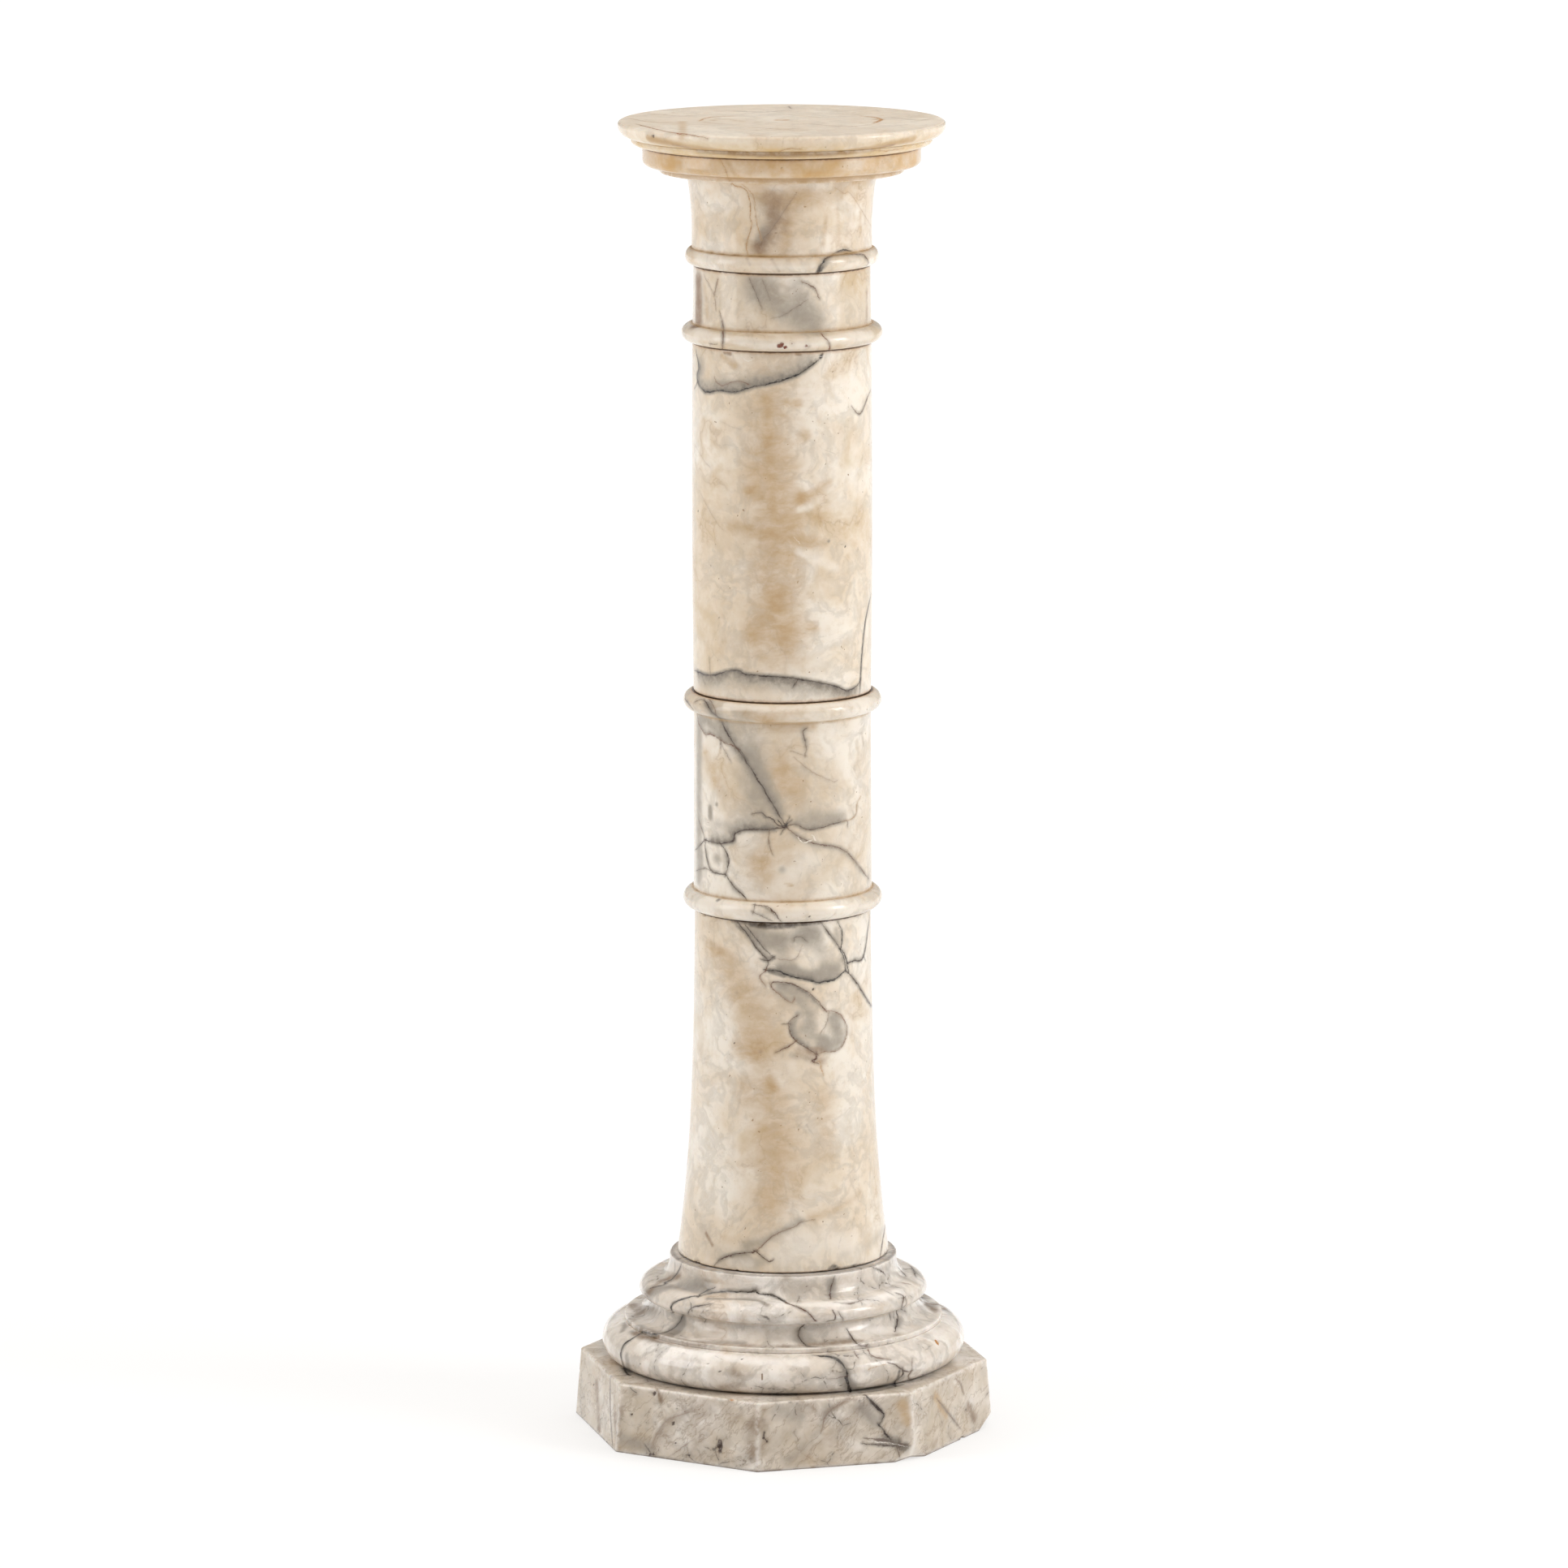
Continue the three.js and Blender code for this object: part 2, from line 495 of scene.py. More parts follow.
class Outline:
    """A block's outline as fine rows, with how near each row lies to an arris or a crease."""

    VALUES = ("facet", "run", "arris", "crease", "joint")
    CORNER = math.radians(18)
    ARRIS_REACH = 2.2
    CREASE_REACH = 2.6
    JOINT_REACH = 2.4
    BEND_STEPS = 4
    BED_SPACING = 20.0

    def __init__(self, stations: Sequence[Station], spacing: float) -> None:
        """Rounds the corners and fills in rows.

        Args:
            stations: The points of the outline.
            spacing: The largest distance between two rows.
        """
        points = np.array([(s.radius, s.level, s.facet) for s in stations])
        soft = [s.soft for s in stations]
        rows = self.fill(self.soften(points, soft), spacing)
        self.radius, self.level, self.facet = rows.T
        steps = np.hypot(np.diff(self.radius), np.diff(self.level))
        self.run = np.concatenate([[0.0], np.cumsum(steps)])
        outer, inner = self.corners(points)
        self.arris = self.nearness(outer, self.ARRIS_REACH)
        self.crease = self.nearness(inner, self.CREASE_REACH)
        self.joint = self.nearness([points[1][:2], points[-2][:2]], self.JOINT_REACH)

    def soften(self, points: np.ndarray, soft: Sequence[float]) -> np.ndarray:
        """Replaces each soft corner by a small bend."""
        rows = [points[0]]
        for index in range(1, len(points) - 1):
            if soft[index] <= 0:
                rows.append(points[index])
                continue
            before, here, after = points[index - 1], points[index], points[index + 1]
            ends = []
            for other in (before, after):
                length = np.hypot(*(other - here)[:2])
                ends.append(here + (other - here) * min(soft[index] / length, 0.45))
            for share in np.linspace(0, 1, self.BEND_STEPS + 1):
                first = ends[0] + (here - ends[0]) * share
                second = here + (ends[1] - here) * share
                rows.append(first + (second - first) * share)
        rows.append(points[-1])
        return np.array(rows)

    def fill(self, points: np.ndarray, spacing: float) -> np.ndarray:
        """Adds rows where two points lie further apart than the spacing, and few on a bed or the top."""
        rows = [points[0]]
        for here, after in zip(points, points[1:]):
            length = np.hypot(*(after - here)[:2])
            on_bed = min(here[0], after[0]) == 0
            count = max(1, math.ceil(length / (self.BED_SPACING if on_bed else spacing)))
            rows.extend(here + (after - here) * step / count for step in range(1, count + 1))
        return np.array(rows)

    def corners(self, points: np.ndarray) -> tuple[list[np.ndarray], list[np.ndarray]]:
        """Finds the corners that point out and those that point in."""
        outer, inner = [], []
        for before, here, after in zip(points, points[1:], points[2:]):
            first, second = (here - before)[:2], (after - here)[:2]
            turn = math.atan2(first[0] * second[1] - first[1] * second[0], first @ second)
            if turn > self.CORNER:
                outer.append(here[:2])
            elif turn < -self.CORNER:
                inner.append(here[:2])
        return outer, inner

    def nearness(self, corners: Sequence[np.ndarray], reach: float) -> np.ndarray:
        """Gives each row 1 at a corner, falling off over the reach."""
        near = np.zeros(len(self.radius))
        for radius, level in corners:
            distance = np.hypot(self.radius - radius, self.level - level)
            near = np.maximum(near, np.exp(-((distance / reach) ** 2)))
        return near

    def mesh(self, name: str) -> bpy.types.Mesh:
        """Makes a mesh of the rows, with their values as attributes.

        Args:
            name: The mesh's name.

        Returns:
            The mesh, in metres, in the XZ plane.
        """
        count = len(self.radius)
        mesh = bpy.data.meshes.new(name)
        places = np.column_stack([self.radius, np.zeros(count), self.level]) * MM
        mesh.from_pydata(places.tolist(), [(i, i + 1) for i in range(count - 1)], [])
        for label in self.VALUES:
            attribute = mesh.attributes.new(label, "FLOAT", "POINT")
            attribute.data.foreach_set("value", getattr(self, label).astype(np.float32))
        return mesh


class Tone(Enum):
    """What a soft cloud on the stone looks like. Most clouds are stains; some are painted shade, painted reflections or
    painted highlights. Its value names the attribute that holds it.
    """

    AMBER = "amber"
    GREY = "grey"
    BROWN = "brown"
    PALE = "pale"
    INK = "ink"


@dataclass(frozen=True)
class Vein:
    """A vein drawn along pixels of the photograph, or a speck where its path is one pixel.

    Left and right say how far, in millimetres, a grey shade reaches on each side of the path as it runs over
    the surface. Warmth goes from 0, black, to 1, orange-brown. Chalk is 1 for a pale scratch.
    """

    path: Path
    width: float = 0.7
    left: float = 3.0
    right: float = 3.0
    warmth: float = 0.15
    strength: float = 1.0
    ends: tuple[float, float] = (0.5, 0.3)
    chalk: float = 0.0


def specks(width: float, warmth: float, *pixels: Pixel) -> tuple[Vein, ...]:
    """Makes round specks of one size and tone.

    Args:
        width: Their width, in millimetres.
        warmth: From 0, black, to 1, orange-brown.
        *pixels: Where they lie in the photograph.

    Returns:
        The specks.
    """
    return tuple(Vein((pixel,), width, 0, 0, warmth, 1.0, (0.7, 0.7)) for pixel in pixels)


def chalk(width: float, strength: float, *path: Pixel) -> Vein:
    """Makes a pale scratch.

    Args:
        width: Its width, in millimetres.
        strength: How clear it is, up to 1.
        *path: Its pixels in the photograph.

    Returns:
        The scratch.
    """
    return Vein(path, width, 0, 0, 0, strength, (0.6, 0.6), 1.0)


@dataclass(frozen=True)
class Cloud:
    """A soft cloud drawn along pixels of the photograph, with its reach to each side in millimetres."""

    path: Path
    reach: float
    tone: Tone
    strength: float = 1.0


def clouds(tone: Tone, *marks: tuple) -> tuple[Cloud, ...]:
    """Makes clouds of one tone.

    Args:
        tone: Their tone.
        *marks: Each one's reach, strength and pixels.

    Returns:
        The clouds.
    """
    return tuple(Cloud(tuple(path), reach, tone, strength) for reach, strength, *path in marks)


@dataclass(frozen=True)
class Pit:
    """A small hole at a pixel of the photograph, with its radius and depth in millimetres."""

    pixel: Pixel
    radius: float = 1.2
    depth: float = 1.0


def smooth_path(path: Sequence[Sequence[float]], step: float) -> np.ndarray:
    """Draws a smooth curve through the points of a path.

    Args:
        path: The points, in the plane.
        step: The distance between two points of the curve.

    Returns:
        The curve's points.
    """
    points = np.array(path, float)
    if len(points) < 2:
        return points
    ends = np.vstack([2 * points[0] - points[1], points, 2 * points[-1] - points[-2]])
    curve = []
    for p0, p1, p2, p3 in zip(ends, ends[1:], ends[2:], ends[3:]):
        count = max(1, int(np.hypot(*(p2 - p1)) / step))
        for t in np.arange(count) / count:
            bend = 2 * p0 - 5 * p1 + 4 * p2 - p3
            twist = 3 * p1 - p0 - 3 * p2 + p3
            curve.append(0.5 * (2 * p1 + (p2 - p0) * t + bend * t * t + twist * t**3))
    curve.append(points[-1])
    return np.array(curve)


def turning_recipe() -> Recipe:
    """Makes the tree that turns an outline into a closed block, round or with flats.

    Returns:
        The recipe.
    """
    kinds = {"Segments": "NodeSocketInt", "Flats": "NodeSocketInt", "Crowding": "NodeSocketFloat",
             "Softness": "NodeSocketFloat", "Arris reach": "NodeSocketFloat"}
    tree = Recipe("Turned block", kinds)
    outline, flats = tree.input("Geometry"), tree.input("Flats")
    count = tree.add("GeometryNodeAttributeDomainSize", {"component": "MESH"}, {"Geometry": outline}, "Point Count")
    grid_inputs = {"Size X": 1.0, "Size Y": 1.0, "Vertices X": tree.input("Segments") + 1, "Vertices Y": count}
    grid = tree.add("GeometryNodeMeshGrid", None, grid_inputs)
    x, y, _ = tree.split(tree.add("GeometryNodeInputPosition"))
    row = ((y + 0.5) * (count - 1)).math("ROUND")

    def row_value(value: Value, kind: str = "FLOAT") -> Value:
        """Reads a value of the outline at this point's row."""
        inputs = {"Geometry": outline, "Value": value, "Index": row}
        return tree.add("GeometryNodeSampleIndex", {"data_type": kind, "domain": "POINT"}, inputs)

    radius, _, level = tree.split(row_value(tree.add("GeometryNodeInputPosition"), "FLOAT_VECTOR"))
    facet, run, arris, crease, joint = (row_value(tree.attribute(name)) for name in Outline.VALUES)
    share = x + 0.5
    wave = (share * flats - 0.5) * math.tau
    turn = share - tree.input("Crowding") * wave.math("SINE") / (flats * math.tau)
    angle = turn * math.tau
    width = flats**-1.0 * math.tau
    fold = abs((angle + width / 2).math("FLOORED_MODULO", width) - width / 2)
    cut = fold.math("COSINE").math("SMOOTH_MAX", (width - fold).math("COSINE"), tree.input("Softness"))
    reach = radius * (1 + facet * (cut**-1.0 - 1))
    from_corner = (width / 2 - fold) * reach / tree.input("Arris reach")
    corner = facet * (from_corner**2.0 * -1).math("EXPONENT")
    body = tree.store(grid, "skin", tree.join(turn, run * MM, 0.0), "FLOAT2", "CORNER")
    body = tree.store(body, "arris", arris.at_least(corner))
    for name, value in (("crease", crease), ("joint", joint), ("facet", facet)):
        body = tree.store(body, name, value)
    placed = tree.join(reach * angle.math("SINE"), reach * angle.math("COSINE") * -1, level)
    body = tree.add("GeometryNodeSetPosition", None, {"Geometry": body, "Position": placed})
    body = tree.add("GeometryNodeMergeByDistance", None, {"Geometry": body, "Distance": 0.001 * MM})
    body = tree.add("GeometryNodeSetShadeSmooth", None, {"Geometry": body, "Shade Smooth": True})
    tree.finish(tree.add("GeometryNodeRealizeInstances", None, {"Geometry": body}))
    return tree


def wearing_recipe() -> Recipe:
    """Makes the tree that wears a turned block: it waves the skin, nicks the arrises and scatters small pits.

    Every point moves inwards only, so that the block stays inside its own size.

    Returns:
        The recipe.
    """
    kinds = {"Unevenness": "NodeSocketFloat", "Nick depth": "NodeSocketFloat", "Pit density": "NodeSocketFloat",
             "Pit radius": "NodeSocketFloat", "Pit depth": "NodeSocketFloat", "Seed": "NodeSocketInt",
             "Finish": "NodeSocketMaterial"}
    tree = Recipe("Worn skin", kinds)
    body, seed = tree.input("Geometry"), tree.input("Seed")
    place = tree.vector("MULTIPLY_ADD", tree.add("GeometryNodeInputPosition"), (1000,) * 3, tree.join(seed, 0.0, 0.0))
    normal = tree.add("GeometryNodeInputNormal")
    _, _, lean = tree.split(normal)
    upright = abs(lean).step(0.97, 0.9)
    wave = tree.noise(place, 70.0, 1.0) * tree.input("Unevenness")
    nick = tree.noise(place, 7.0, 3.0).step(0.56, 0.72) * tree.attribute("arris")
    scatter = {"Mesh": body, "Density": tree.input("Pit density"), "Seed": seed}
    pits = tree.add("GeometryNodeDistributePointsOnFaces", {"distribute_method": "RANDOM"}, scatter)
    here = tree.add("GeometryNodeInputPosition")
    distance = tree.add("GeometryNodeProximity", {"target_element": "POINTS"}, {"Geometry": pits}, "Distance")
    nearest = tree.add("GeometryNodeSampleNearest", {"domain": "POINT"}, {"Geometry": pits, "Sample Position": here})
    size = tree.add("FunctionNodeRandomValue", {"data_type": "FLOAT"}, {"Min": 0.35, "Max": 1.0, "Seed": seed})
    inputs = {"Geometry": pits, "Value": size, "Index": nearest}
    size = tree.add("GeometryNodeSampleIndex", {"data_type": "FLOAT", "domain": "POINT"}, inputs)
    pit = (distance / (size * tree.input("Pit radius"))).step(1.0, 0.2)
    sink = wave + nick * tree.input("Nick depth") + pit * size * tree.input("Pit depth")
    body = tree.store(body, "pit", pit * upright)
    body = tree.store(body, "nick", nick)
    offset = tree.add("ShaderNodeVectorMath", {"operation": "SCALE"}, {"Vector": normal, "Scale": sink * upright * -MM})
    body = tree.add("GeometryNodeSetPosition", None, {"Geometry": body, "Offset": offset})
    body = tree.add("GeometryNodeRealizeInstances", None, {"Geometry": body})
    tree.finish(tree.add("GeometryNodeSetMaterial", None, {"Geometry": body, "Material": tree.input("Finish")}))
    return tree


class Skin:
    """The finished mesh of a block, on which veins, clouds and pits are drawn as attributes."""

    LAYERS = 3
    FAR = 99.0
    NEAR = 3.0
    RAMP = 10.0
    CHUNK = 4000
    OUTSIDE = 0.4
    SHADE_EDGE = 1.4

    def __init__(self, mesh: bpy.types.Mesh) -> None:
        """Reads the mesh's points.

        Args:
            mesh: The block's mesh.
        """
        self.mesh = mesh
        count = len(mesh.vertices)
        self.places = self.read(mesh.vertices, "co", 3) / MM
        self.normals = self.read(mesh.vertices, "normal", 3)
        self.tree = self.search_tree()
        self.veins = [np.tile([self.FAR, self.FAR, 0, 0, 0, 0.0], (count, 1)) for _ in range(self.LAYERS)]
        self.masks = {name: self.read(mesh.attributes[name].data, "value", 1)[:, 0] for name in ("pit", "nick")}
        self.masks |= {name: np.zeros(count) for name in ("halo", *(tone.value for tone in Tone))}

    @staticmethod
    def read(items: bpy.types.bpy_prop_collection, name: str, width: int) -> np.ndarray:
        """Reads one property of all the points."""
        values = np.empty(len(items) * width, np.float32)
        items.foreach_get(name, values)
        return values.reshape(-1, width).astype(float)

    def search_tree(self) -> BVHTree:
        """Makes the tree that rays are cast on."""
        cage = bmesh.new()
        cage.from_mesh(self.mesh)
        tree = BVHTree.FromBMesh(cage)
        cage.free()
        return tree

    def trace(self, camera: PhotoCamera, path: Path) -> np.ndarray:
        """Follows a path of the photograph over the skin.

        Args:
            camera: The photograph's camera.
            path: The pixels.

        Returns:
            The points on the skin, in millimetres.
        """
        origin = camera.place()
        hits = (self.tree.ray_cast(origin, camera.ray(pixel))[0] for pixel in smooth_path(path, 1.6))
        return np.array([hit for hit in hits if hit is not None]).reshape(-1, 3) / MM

    def wander(self, rng: random.Random, levels: tuple[float, float], angles: tuple[float, float]) -> np.ndarray:
        """Draws a jagged path at random over the side of the skin.

        Args:
            rng: The source of chance.
            levels: The lowest and highest level of its start, in millimetres.
            angles: The smallest and largest angle of its start, in degrees.

        Returns:
            The points on the skin, in millimetres.
        """
        angle, level = math.radians(rng.uniform(*angles)), rng.uniform(*levels) * MM
        course, points = rng.choice((-1.0, -0.9, -0.2, 0.15, 2.4, 3.0)) + rng.gauss(0, 0.2), []
        heading = course
        for _ in range(rng.randint(16, 90)):
            outward = Vector((math.sin(angle), -math.cos(angle), 0))
            start = outward * self.OUTSIDE + Vector((0, 0, level))
            hit = self.tree.ray_cast(start, -outward)[0]
            behind = angles[0] < math.degrees(angle) < angles[1]
            if hit is None or not behind or not levels[0] * MM < level < levels[1] * MM:
                break
            points.append(hit)
            heading += (course - heading) * 0.12 + rng.gauss(0, 0.2)
            heading += rng.uniform(-1.3, 1.3) if rng.random() < 0.08 else 0
            angle += math.cos(heading) * 1.5 * MM / max(hit.xy.length, 0.03)
            level += math.sin(heading) * 1.5 * MM
        return np.array(points).reshape(-1, 3) / MM

    def beside(self, line: np.ndarray, reach: float) -> tuple[np.ndarray, np.ndarray, np.ndarray]:
        """Finds the mesh's points near a line.

        Args:
            line: The line's points, in millimetres.
            reach: How far from the line to look.

        Returns:
            The numbers of the mesh's points, the nearest point of the line to each, and the way from it.
        """
        inside = np.all((self.places > line.min(0) - reach) & (self.places < line.max(0) + reach), axis=1)
        ids = np.flatnonzero(inside)
        nearest = np.zeros(len(ids), int)
        for start in range(0, len(ids), self.CHUNK):
            chunk = self.places[ids[start : start + self.CHUNK]]
            gaps = ((chunk[:, None] - line[None]) ** 2).sum(2)
            nearest[start : start + self.CHUNK] = gaps.argmin(1)
        return ids, nearest, self.places[ids] - line[nearest]

    def draw_vein(self, line: np.ndarray, vein: Vein) -> None:
        """Draws a vein along a line, or a speck at a single point.

        Args:
            line: The line's points, in millimetres.
            vein: The vein's width, shade and tone.
        """
        if not len(line):
            return
        speck = len(line) == 1
        ids, nearest, way = self.beside(line, max(8.0, self.SHADE_EDGE * max(vein.left, vein.right)))
        tangent = np.zeros_like(way)
        if not speck:
            steps = np.gradient(line, axis=0)
            tangent = (steps / np.linalg.norm(steps, axis=1, keepdims=True).clip(1e-6))[nearest]
        along = (way * tangent).sum(1)
        side = (np.cross(self.normals[ids], tangent) * way).sum(1)
        across = np.sqrt(((way**2).sum(1) - along**2).clip(0))
        side = np.copysign(across, side)
        last = len(line) - 1
        past = np.where(nearest == 0, -along, np.where(nearest == last, along, 0)).clip(0)
        near = np.hypot(across, past)
        travel = np.concatenate([[0], np.cumsum(np.linalg.norm(np.diff(line, axis=0), axis=1))])[nearest]
        rest = travel.max(initial=0) - travel
        ramp = [(end + (1 - end) * (left / self.RAMP).clip(0, 1)) for end, left in zip(vein.ends, (travel, rest))]
        width = vein.width * (np.ones(len(ids)) if speck else np.minimum(*ramp))
        values = np.column_stack([side, near, width, *(np.full_like(side, tone) for tone in
                                                       (vein.warmth, vein.strength, vein.chalk))])
        crowd = [np.sum((near < self.NEAR) & (layer[ids, 1] < self.NEAR)) for layer in self.veins]
        layer = self.veins[int(np.argmin(crowd))]
        closer = near < layer[ids, 1]
        layer[ids[closer]] = values[closer]
        if not speck and not vein.chalk:
            span = np.where(side > 0, vein.left, vein.right).clip(0.3)
            fade = (np.minimum(travel, rest) / self.RAMP).clip(0.15, 1)
            shade = (1 - near / (self.SHADE_EDGE * span)).clip(0, 1) ** 1.5 * fade * vein.strength
            self.masks["halo"][ids] = np.maximum(self.masks["halo"][ids], shade)

    def draw_cloud(self, line: np.ndarray, cloud: Cloud) -> None:
        """Draws a soft cloud along a line.

        Args:
            line: The line's points, in millimetres.
            cloud: The cloud's reach and tone.
        """
        if not len(line):
            return
        ids, _, way = self.beside(line, cloud.reach)
        share = 1 - (np.linalg.norm(way, axis=1) / cloud.reach).clip(0, 1)
        veil = share**2 * (3 - 2 * share) * cloud.strength
        mask = self.masks[cloud.tone.value]
        mask[ids] = 1 - (1 - mask[ids]) * (1 - veil)

    def sink_pit(self, line: np.ndarray, pit: Pit) -> None:
        """Sinks a pit at a point.

        Args:
            line: The point, in millimetres, alone in its row.
            pit: The pit's radius and depth.
        """
        if not len(line):
            return
        ids, _, way = self.beside(line[:1], pit.radius)
        dent = (1 - (np.linalg.norm(way, axis=1) / pit.radius).clip(0, 1) ** 2) ** 2
        self.places[ids] -= self.normals[ids] * (pit.depth * dent)[:, None]
        self.masks["pit"][ids] = np.maximum(self.masks["pit"][ids], dent)

    def break_off(self, point: Sequence[float], out: Sequence[float]) -> None:
        """Breaks off what stands past a plane.

        Args:
            point: A point of the plane, in millimetres.
            out: The direction that leaves the stone.
        """
        direction = np.array(out) / np.linalg.norm(out)
        past = (self.places - np.array(point)) @ direction
        ids = np.flatnonzero(past > 0)
        self.places[ids] -= past[ids][:, None] * direction
        self.masks["nick"][ids] = 1.0

    def save(self) -> None:
        """Writes the points and the marks to the mesh."""
        self.mesh.vertices.foreach_set("co", (self.places * MM).astype(np.float32).ravel())
        for index, layer in enumerate(self.veins):
            self.write(f"vein_{index}", "FLOAT_VECTOR", "vector", layer[:, :3])
            self.write(f"vein_tone_{index}", "FLOAT_VECTOR", "vector", layer[:, 3:])
        for name, mask in self.masks.items():
            self.write(name, "FLOAT", "value", mask)
        self.mesh.update()

    def write(self, name: str, kind: str, label: str, values: np.ndarray) -> None:
        """Writes one attribute of the points."""
        attribute = self.mesh.attributes.get(name) or self.mesh.attributes.new(name, kind, "POINT")
        attribute.data.foreach_set(label, values.astype(np.float32).ravel())


@dataclass(frozen=True)
class Marble:
    """The finish of one marble: its tones, how they are spread, and how it is polished and worn."""

    cream: Colour = srgb(222, 206, 184)
    pale: Colour = srgb(236, 228, 216)
    tan: Colour = srgb(200, 177, 140)
    amber: Colour = srgb(184, 151, 105)
    grey: Colour = srgb(156, 147, 134)
    smoke: Colour = srgb(86, 78, 70)
    brown: Colour = srgb(134, 102, 70)
    rust: Colour = srgb(118, 50, 22)
    ochre: Colour = srgb(176, 122, 60)
    ink: Colour = srgb(40, 35, 32)
    gilt: Colour = srgb(208, 177, 122)
    glow: Colour = srgb(186, 138, 80)
    grime_and_shade: Colour = srgb(58, 37, 21)
    dusk: Colour = srgb(184, 168, 144)
    tan_from: float = 0.5
    tan_share: float = 0.6
    haze: float = 80.0
    wisps: float = 0.3
    net: float = 0.14
    net_size: float = 46.0
    mottle: float = 0.3
    crease_soiling_and_shade: float = 0.8
    seam: float = 0.5
    seam_glow: float = 0.5
    bold: float = 0.32
    edge_wear_and_highlight: float = 0.4
    gloom: float = 0.0
    top_wear: float = 0.0
    gilding: tuple[float, float] = (2000.0, 2001.0)
    roughness: float = 0.13
    translucence: float = 0.15
    grain_turn: tuple[float, float, float] = (0.0, math.radians(-50), math.radians(-15.5))

    def make(self, name: str, seed: int) -> bpy.types.Material:
        """Makes the material.

        Args:
            name: The material's name.
            seed: What moves the pattern, so that no two blocks have the same.

        Returns:
            The material.
        """
        material = bpy.data.materials.new(name)
        coat = Coat(self, Graph.clear(material), seed)
        coat.stone()
        if self.gloom:
            coat.darken_foot()
        coat.gild()
        coat.stains()
        coat.hairlines()
        coat.veins()
        coat.handling()
        coat.finish()
        return material


class Coat:
    """The nodes of one marble, whose colour is painted layer on layer. Lengths are in millimetres."""

    RADII = (1.0, 0.62, 0.34)
    DEPTH = 5 * MM
    STREAK_STRETCH = (3.2, 3.2, 1.0)
    STAIN_SQUEEZE = (1.0, 1.0, 2.4)

    def __init__(self, marble: Marble, graph: Graph, seed: int) -> None:
        """Starts with the coordinates and the bare ground.

        Args:
            marble: The finish.
            graph: The material's empty graph.
            seed: What moves the pattern.
        """
        self.marble, self.graph = marble, graph
        thing = graph.add("ShaderNodeTexCoord", out="Object")
        shift = {"Vector": thing, "Location": (seed * 131.0, seed * 57.0, seed * 23.0), "Scale": (1 / MM,) * 3}
        self.place = graph.add("ShaderNodeMapping", None, shift)
        self.level = graph.split(thing)[2] / MM
        self.colour = marble.cream
        self.rough = self.noise(30.0, 3.0) * 0.12 + (marble.roughness - 0.06)
        self.lines = None
        self.streak = None

    def lay(self, paint: Value | Colour, share: Value | float) -> None:
        """Paints a tone over what is there, by a share from 0 to 1."""
        self.colour = self.graph.mix(self.colour, paint, share)

    def noise(self, size: float, detail: float = 3.0, rough: float = 0.5, place: Value | None = None) -> Value:
        """Adds a noise at the stone's coordinates, or at others."""
        return self.graph.noise(place or self.place, size, detail, rough)

    def mask(self, name: str) -> Value:
        """Reads one of the marks that are kept with the skin."""
        return self.graph.add("ShaderNodeAttribute", {"attribute_name": name}, out="Fac")

    def marks(self, name: str) -> tuple[Value, Value, Value]:
        """Reads three marks that are kept together."""
        return self.graph.split(self.graph.add("ShaderNodeAttribute", {"attribute_name": name}, out="Vector"))

    def bend(self, size: float, far: float) -> Value:
        """Shifts the coordinates about at random, so that a pattern flows.

        Args:
            size: The size of the bends.
            far: How far they shift.

        Returns:
            The shifted coordinates.
        """
        inputs = {"Vector": self.place, "Scale": 1 / size, "Detail": 3.0}
        swirl = self.graph.add("ShaderNodeTexNoise", None, inputs, "Color")
        swirl = self.graph.vector("SUBTRACT", swirl, (0.5, 0.5, 0.5))
        return self.graph.vector("MULTIPLY_ADD", swirl, (far, far, far), self.place)

    def stone(self) -> None:
        """Paints the ground: cream with pale and tan clouds, wisps and a fine mottle."""
        tones = self.marble
        flow = self.bend(tones.haze * 0.6, tones.haze * 0.7)
        self.lay(tones.pale, self.noise(tones.haze, 4.0, 0.5, flow).step(0.4, 0.62))
        drift = self.noise(tones.haze * 0.6, 4.0, 0.55, flow)
        self.lay(tones.tan, drift.step(tones.tan_from, tones.tan_from + 0.25) * tones.tan_share)
        patch = self.noise(48.0, 2.0).step(0.45, 0.7)
        wisp = abs(self.noise(60.0, 5.0, 0.58, flow) - 0.5)
        self.lay(tones.amber, wisp.step(0.09, 0.0) * patch * tones.wisps)
        self.lay(tones.brown, wisp.step(0.016, 0.0) * patch * (tones.wisps * 0.7))
        smoke = abs(self.noise(34.0, 5.0, 0.6, flow) - 0.5).step(0.08, 0.0) * (1 - patch)
        self.lay(tones.grey, smoke * (tones.wisps * 0.9))
        mottle = self.noise(7.0, 5.0, 0.7)
        self.lay(tones.tan, mottle.step(0.48, 0.75) * tones.mottle)
        self.lay(tones.pale, mottle.step(0.5, 0.25) * tones.mottle)
        self.lay(tones.brown, self.noise(3.0, 1.0).step(0.76, 0.8) * 0.7)

    def darken_foot(self) -> None:
        """Dulls the flat sides of the plinth with slanting brown streaks, and darkens a thin band along the floor as a
        painted contact shadow.
        """
        tones = self.marble
        flat = self.mask("facet") * tones.gloom
        inputs = {"Vector": self.bend(30.0, 16.0), "Rotation": tones.grain_turn, "Scale": self.STREAK_STRETCH}
        grain = self.graph.add("ShaderNodeMapping", {"vector_type": "TEXTURE"}, inputs)
        self.lay(tones.dusk, flat * self.noise(36.0).step(0.25, 0.7) * 0.85)
        self.streak = self.noise(12.0, 5.0, 0.65, grain) - 0.5
        self.lay(tones.brown, self.noise(16.0, 5.0, 0.6, grain).step(0.5, 0.75) * flat * 0.5)
        self.lay(tones.brown, abs(self.noise(10.0, 5.0, 0.6, grain) - 0.5).step(0.03, 0.0) * flat * 0.45)
        # Painted shadow: a dark band on the flat sides just above the floor, where the plinth meets it.
        self.lay(tones.grime_and_shade, self.level.step(3.0, 0.5) * flat * 0.6)

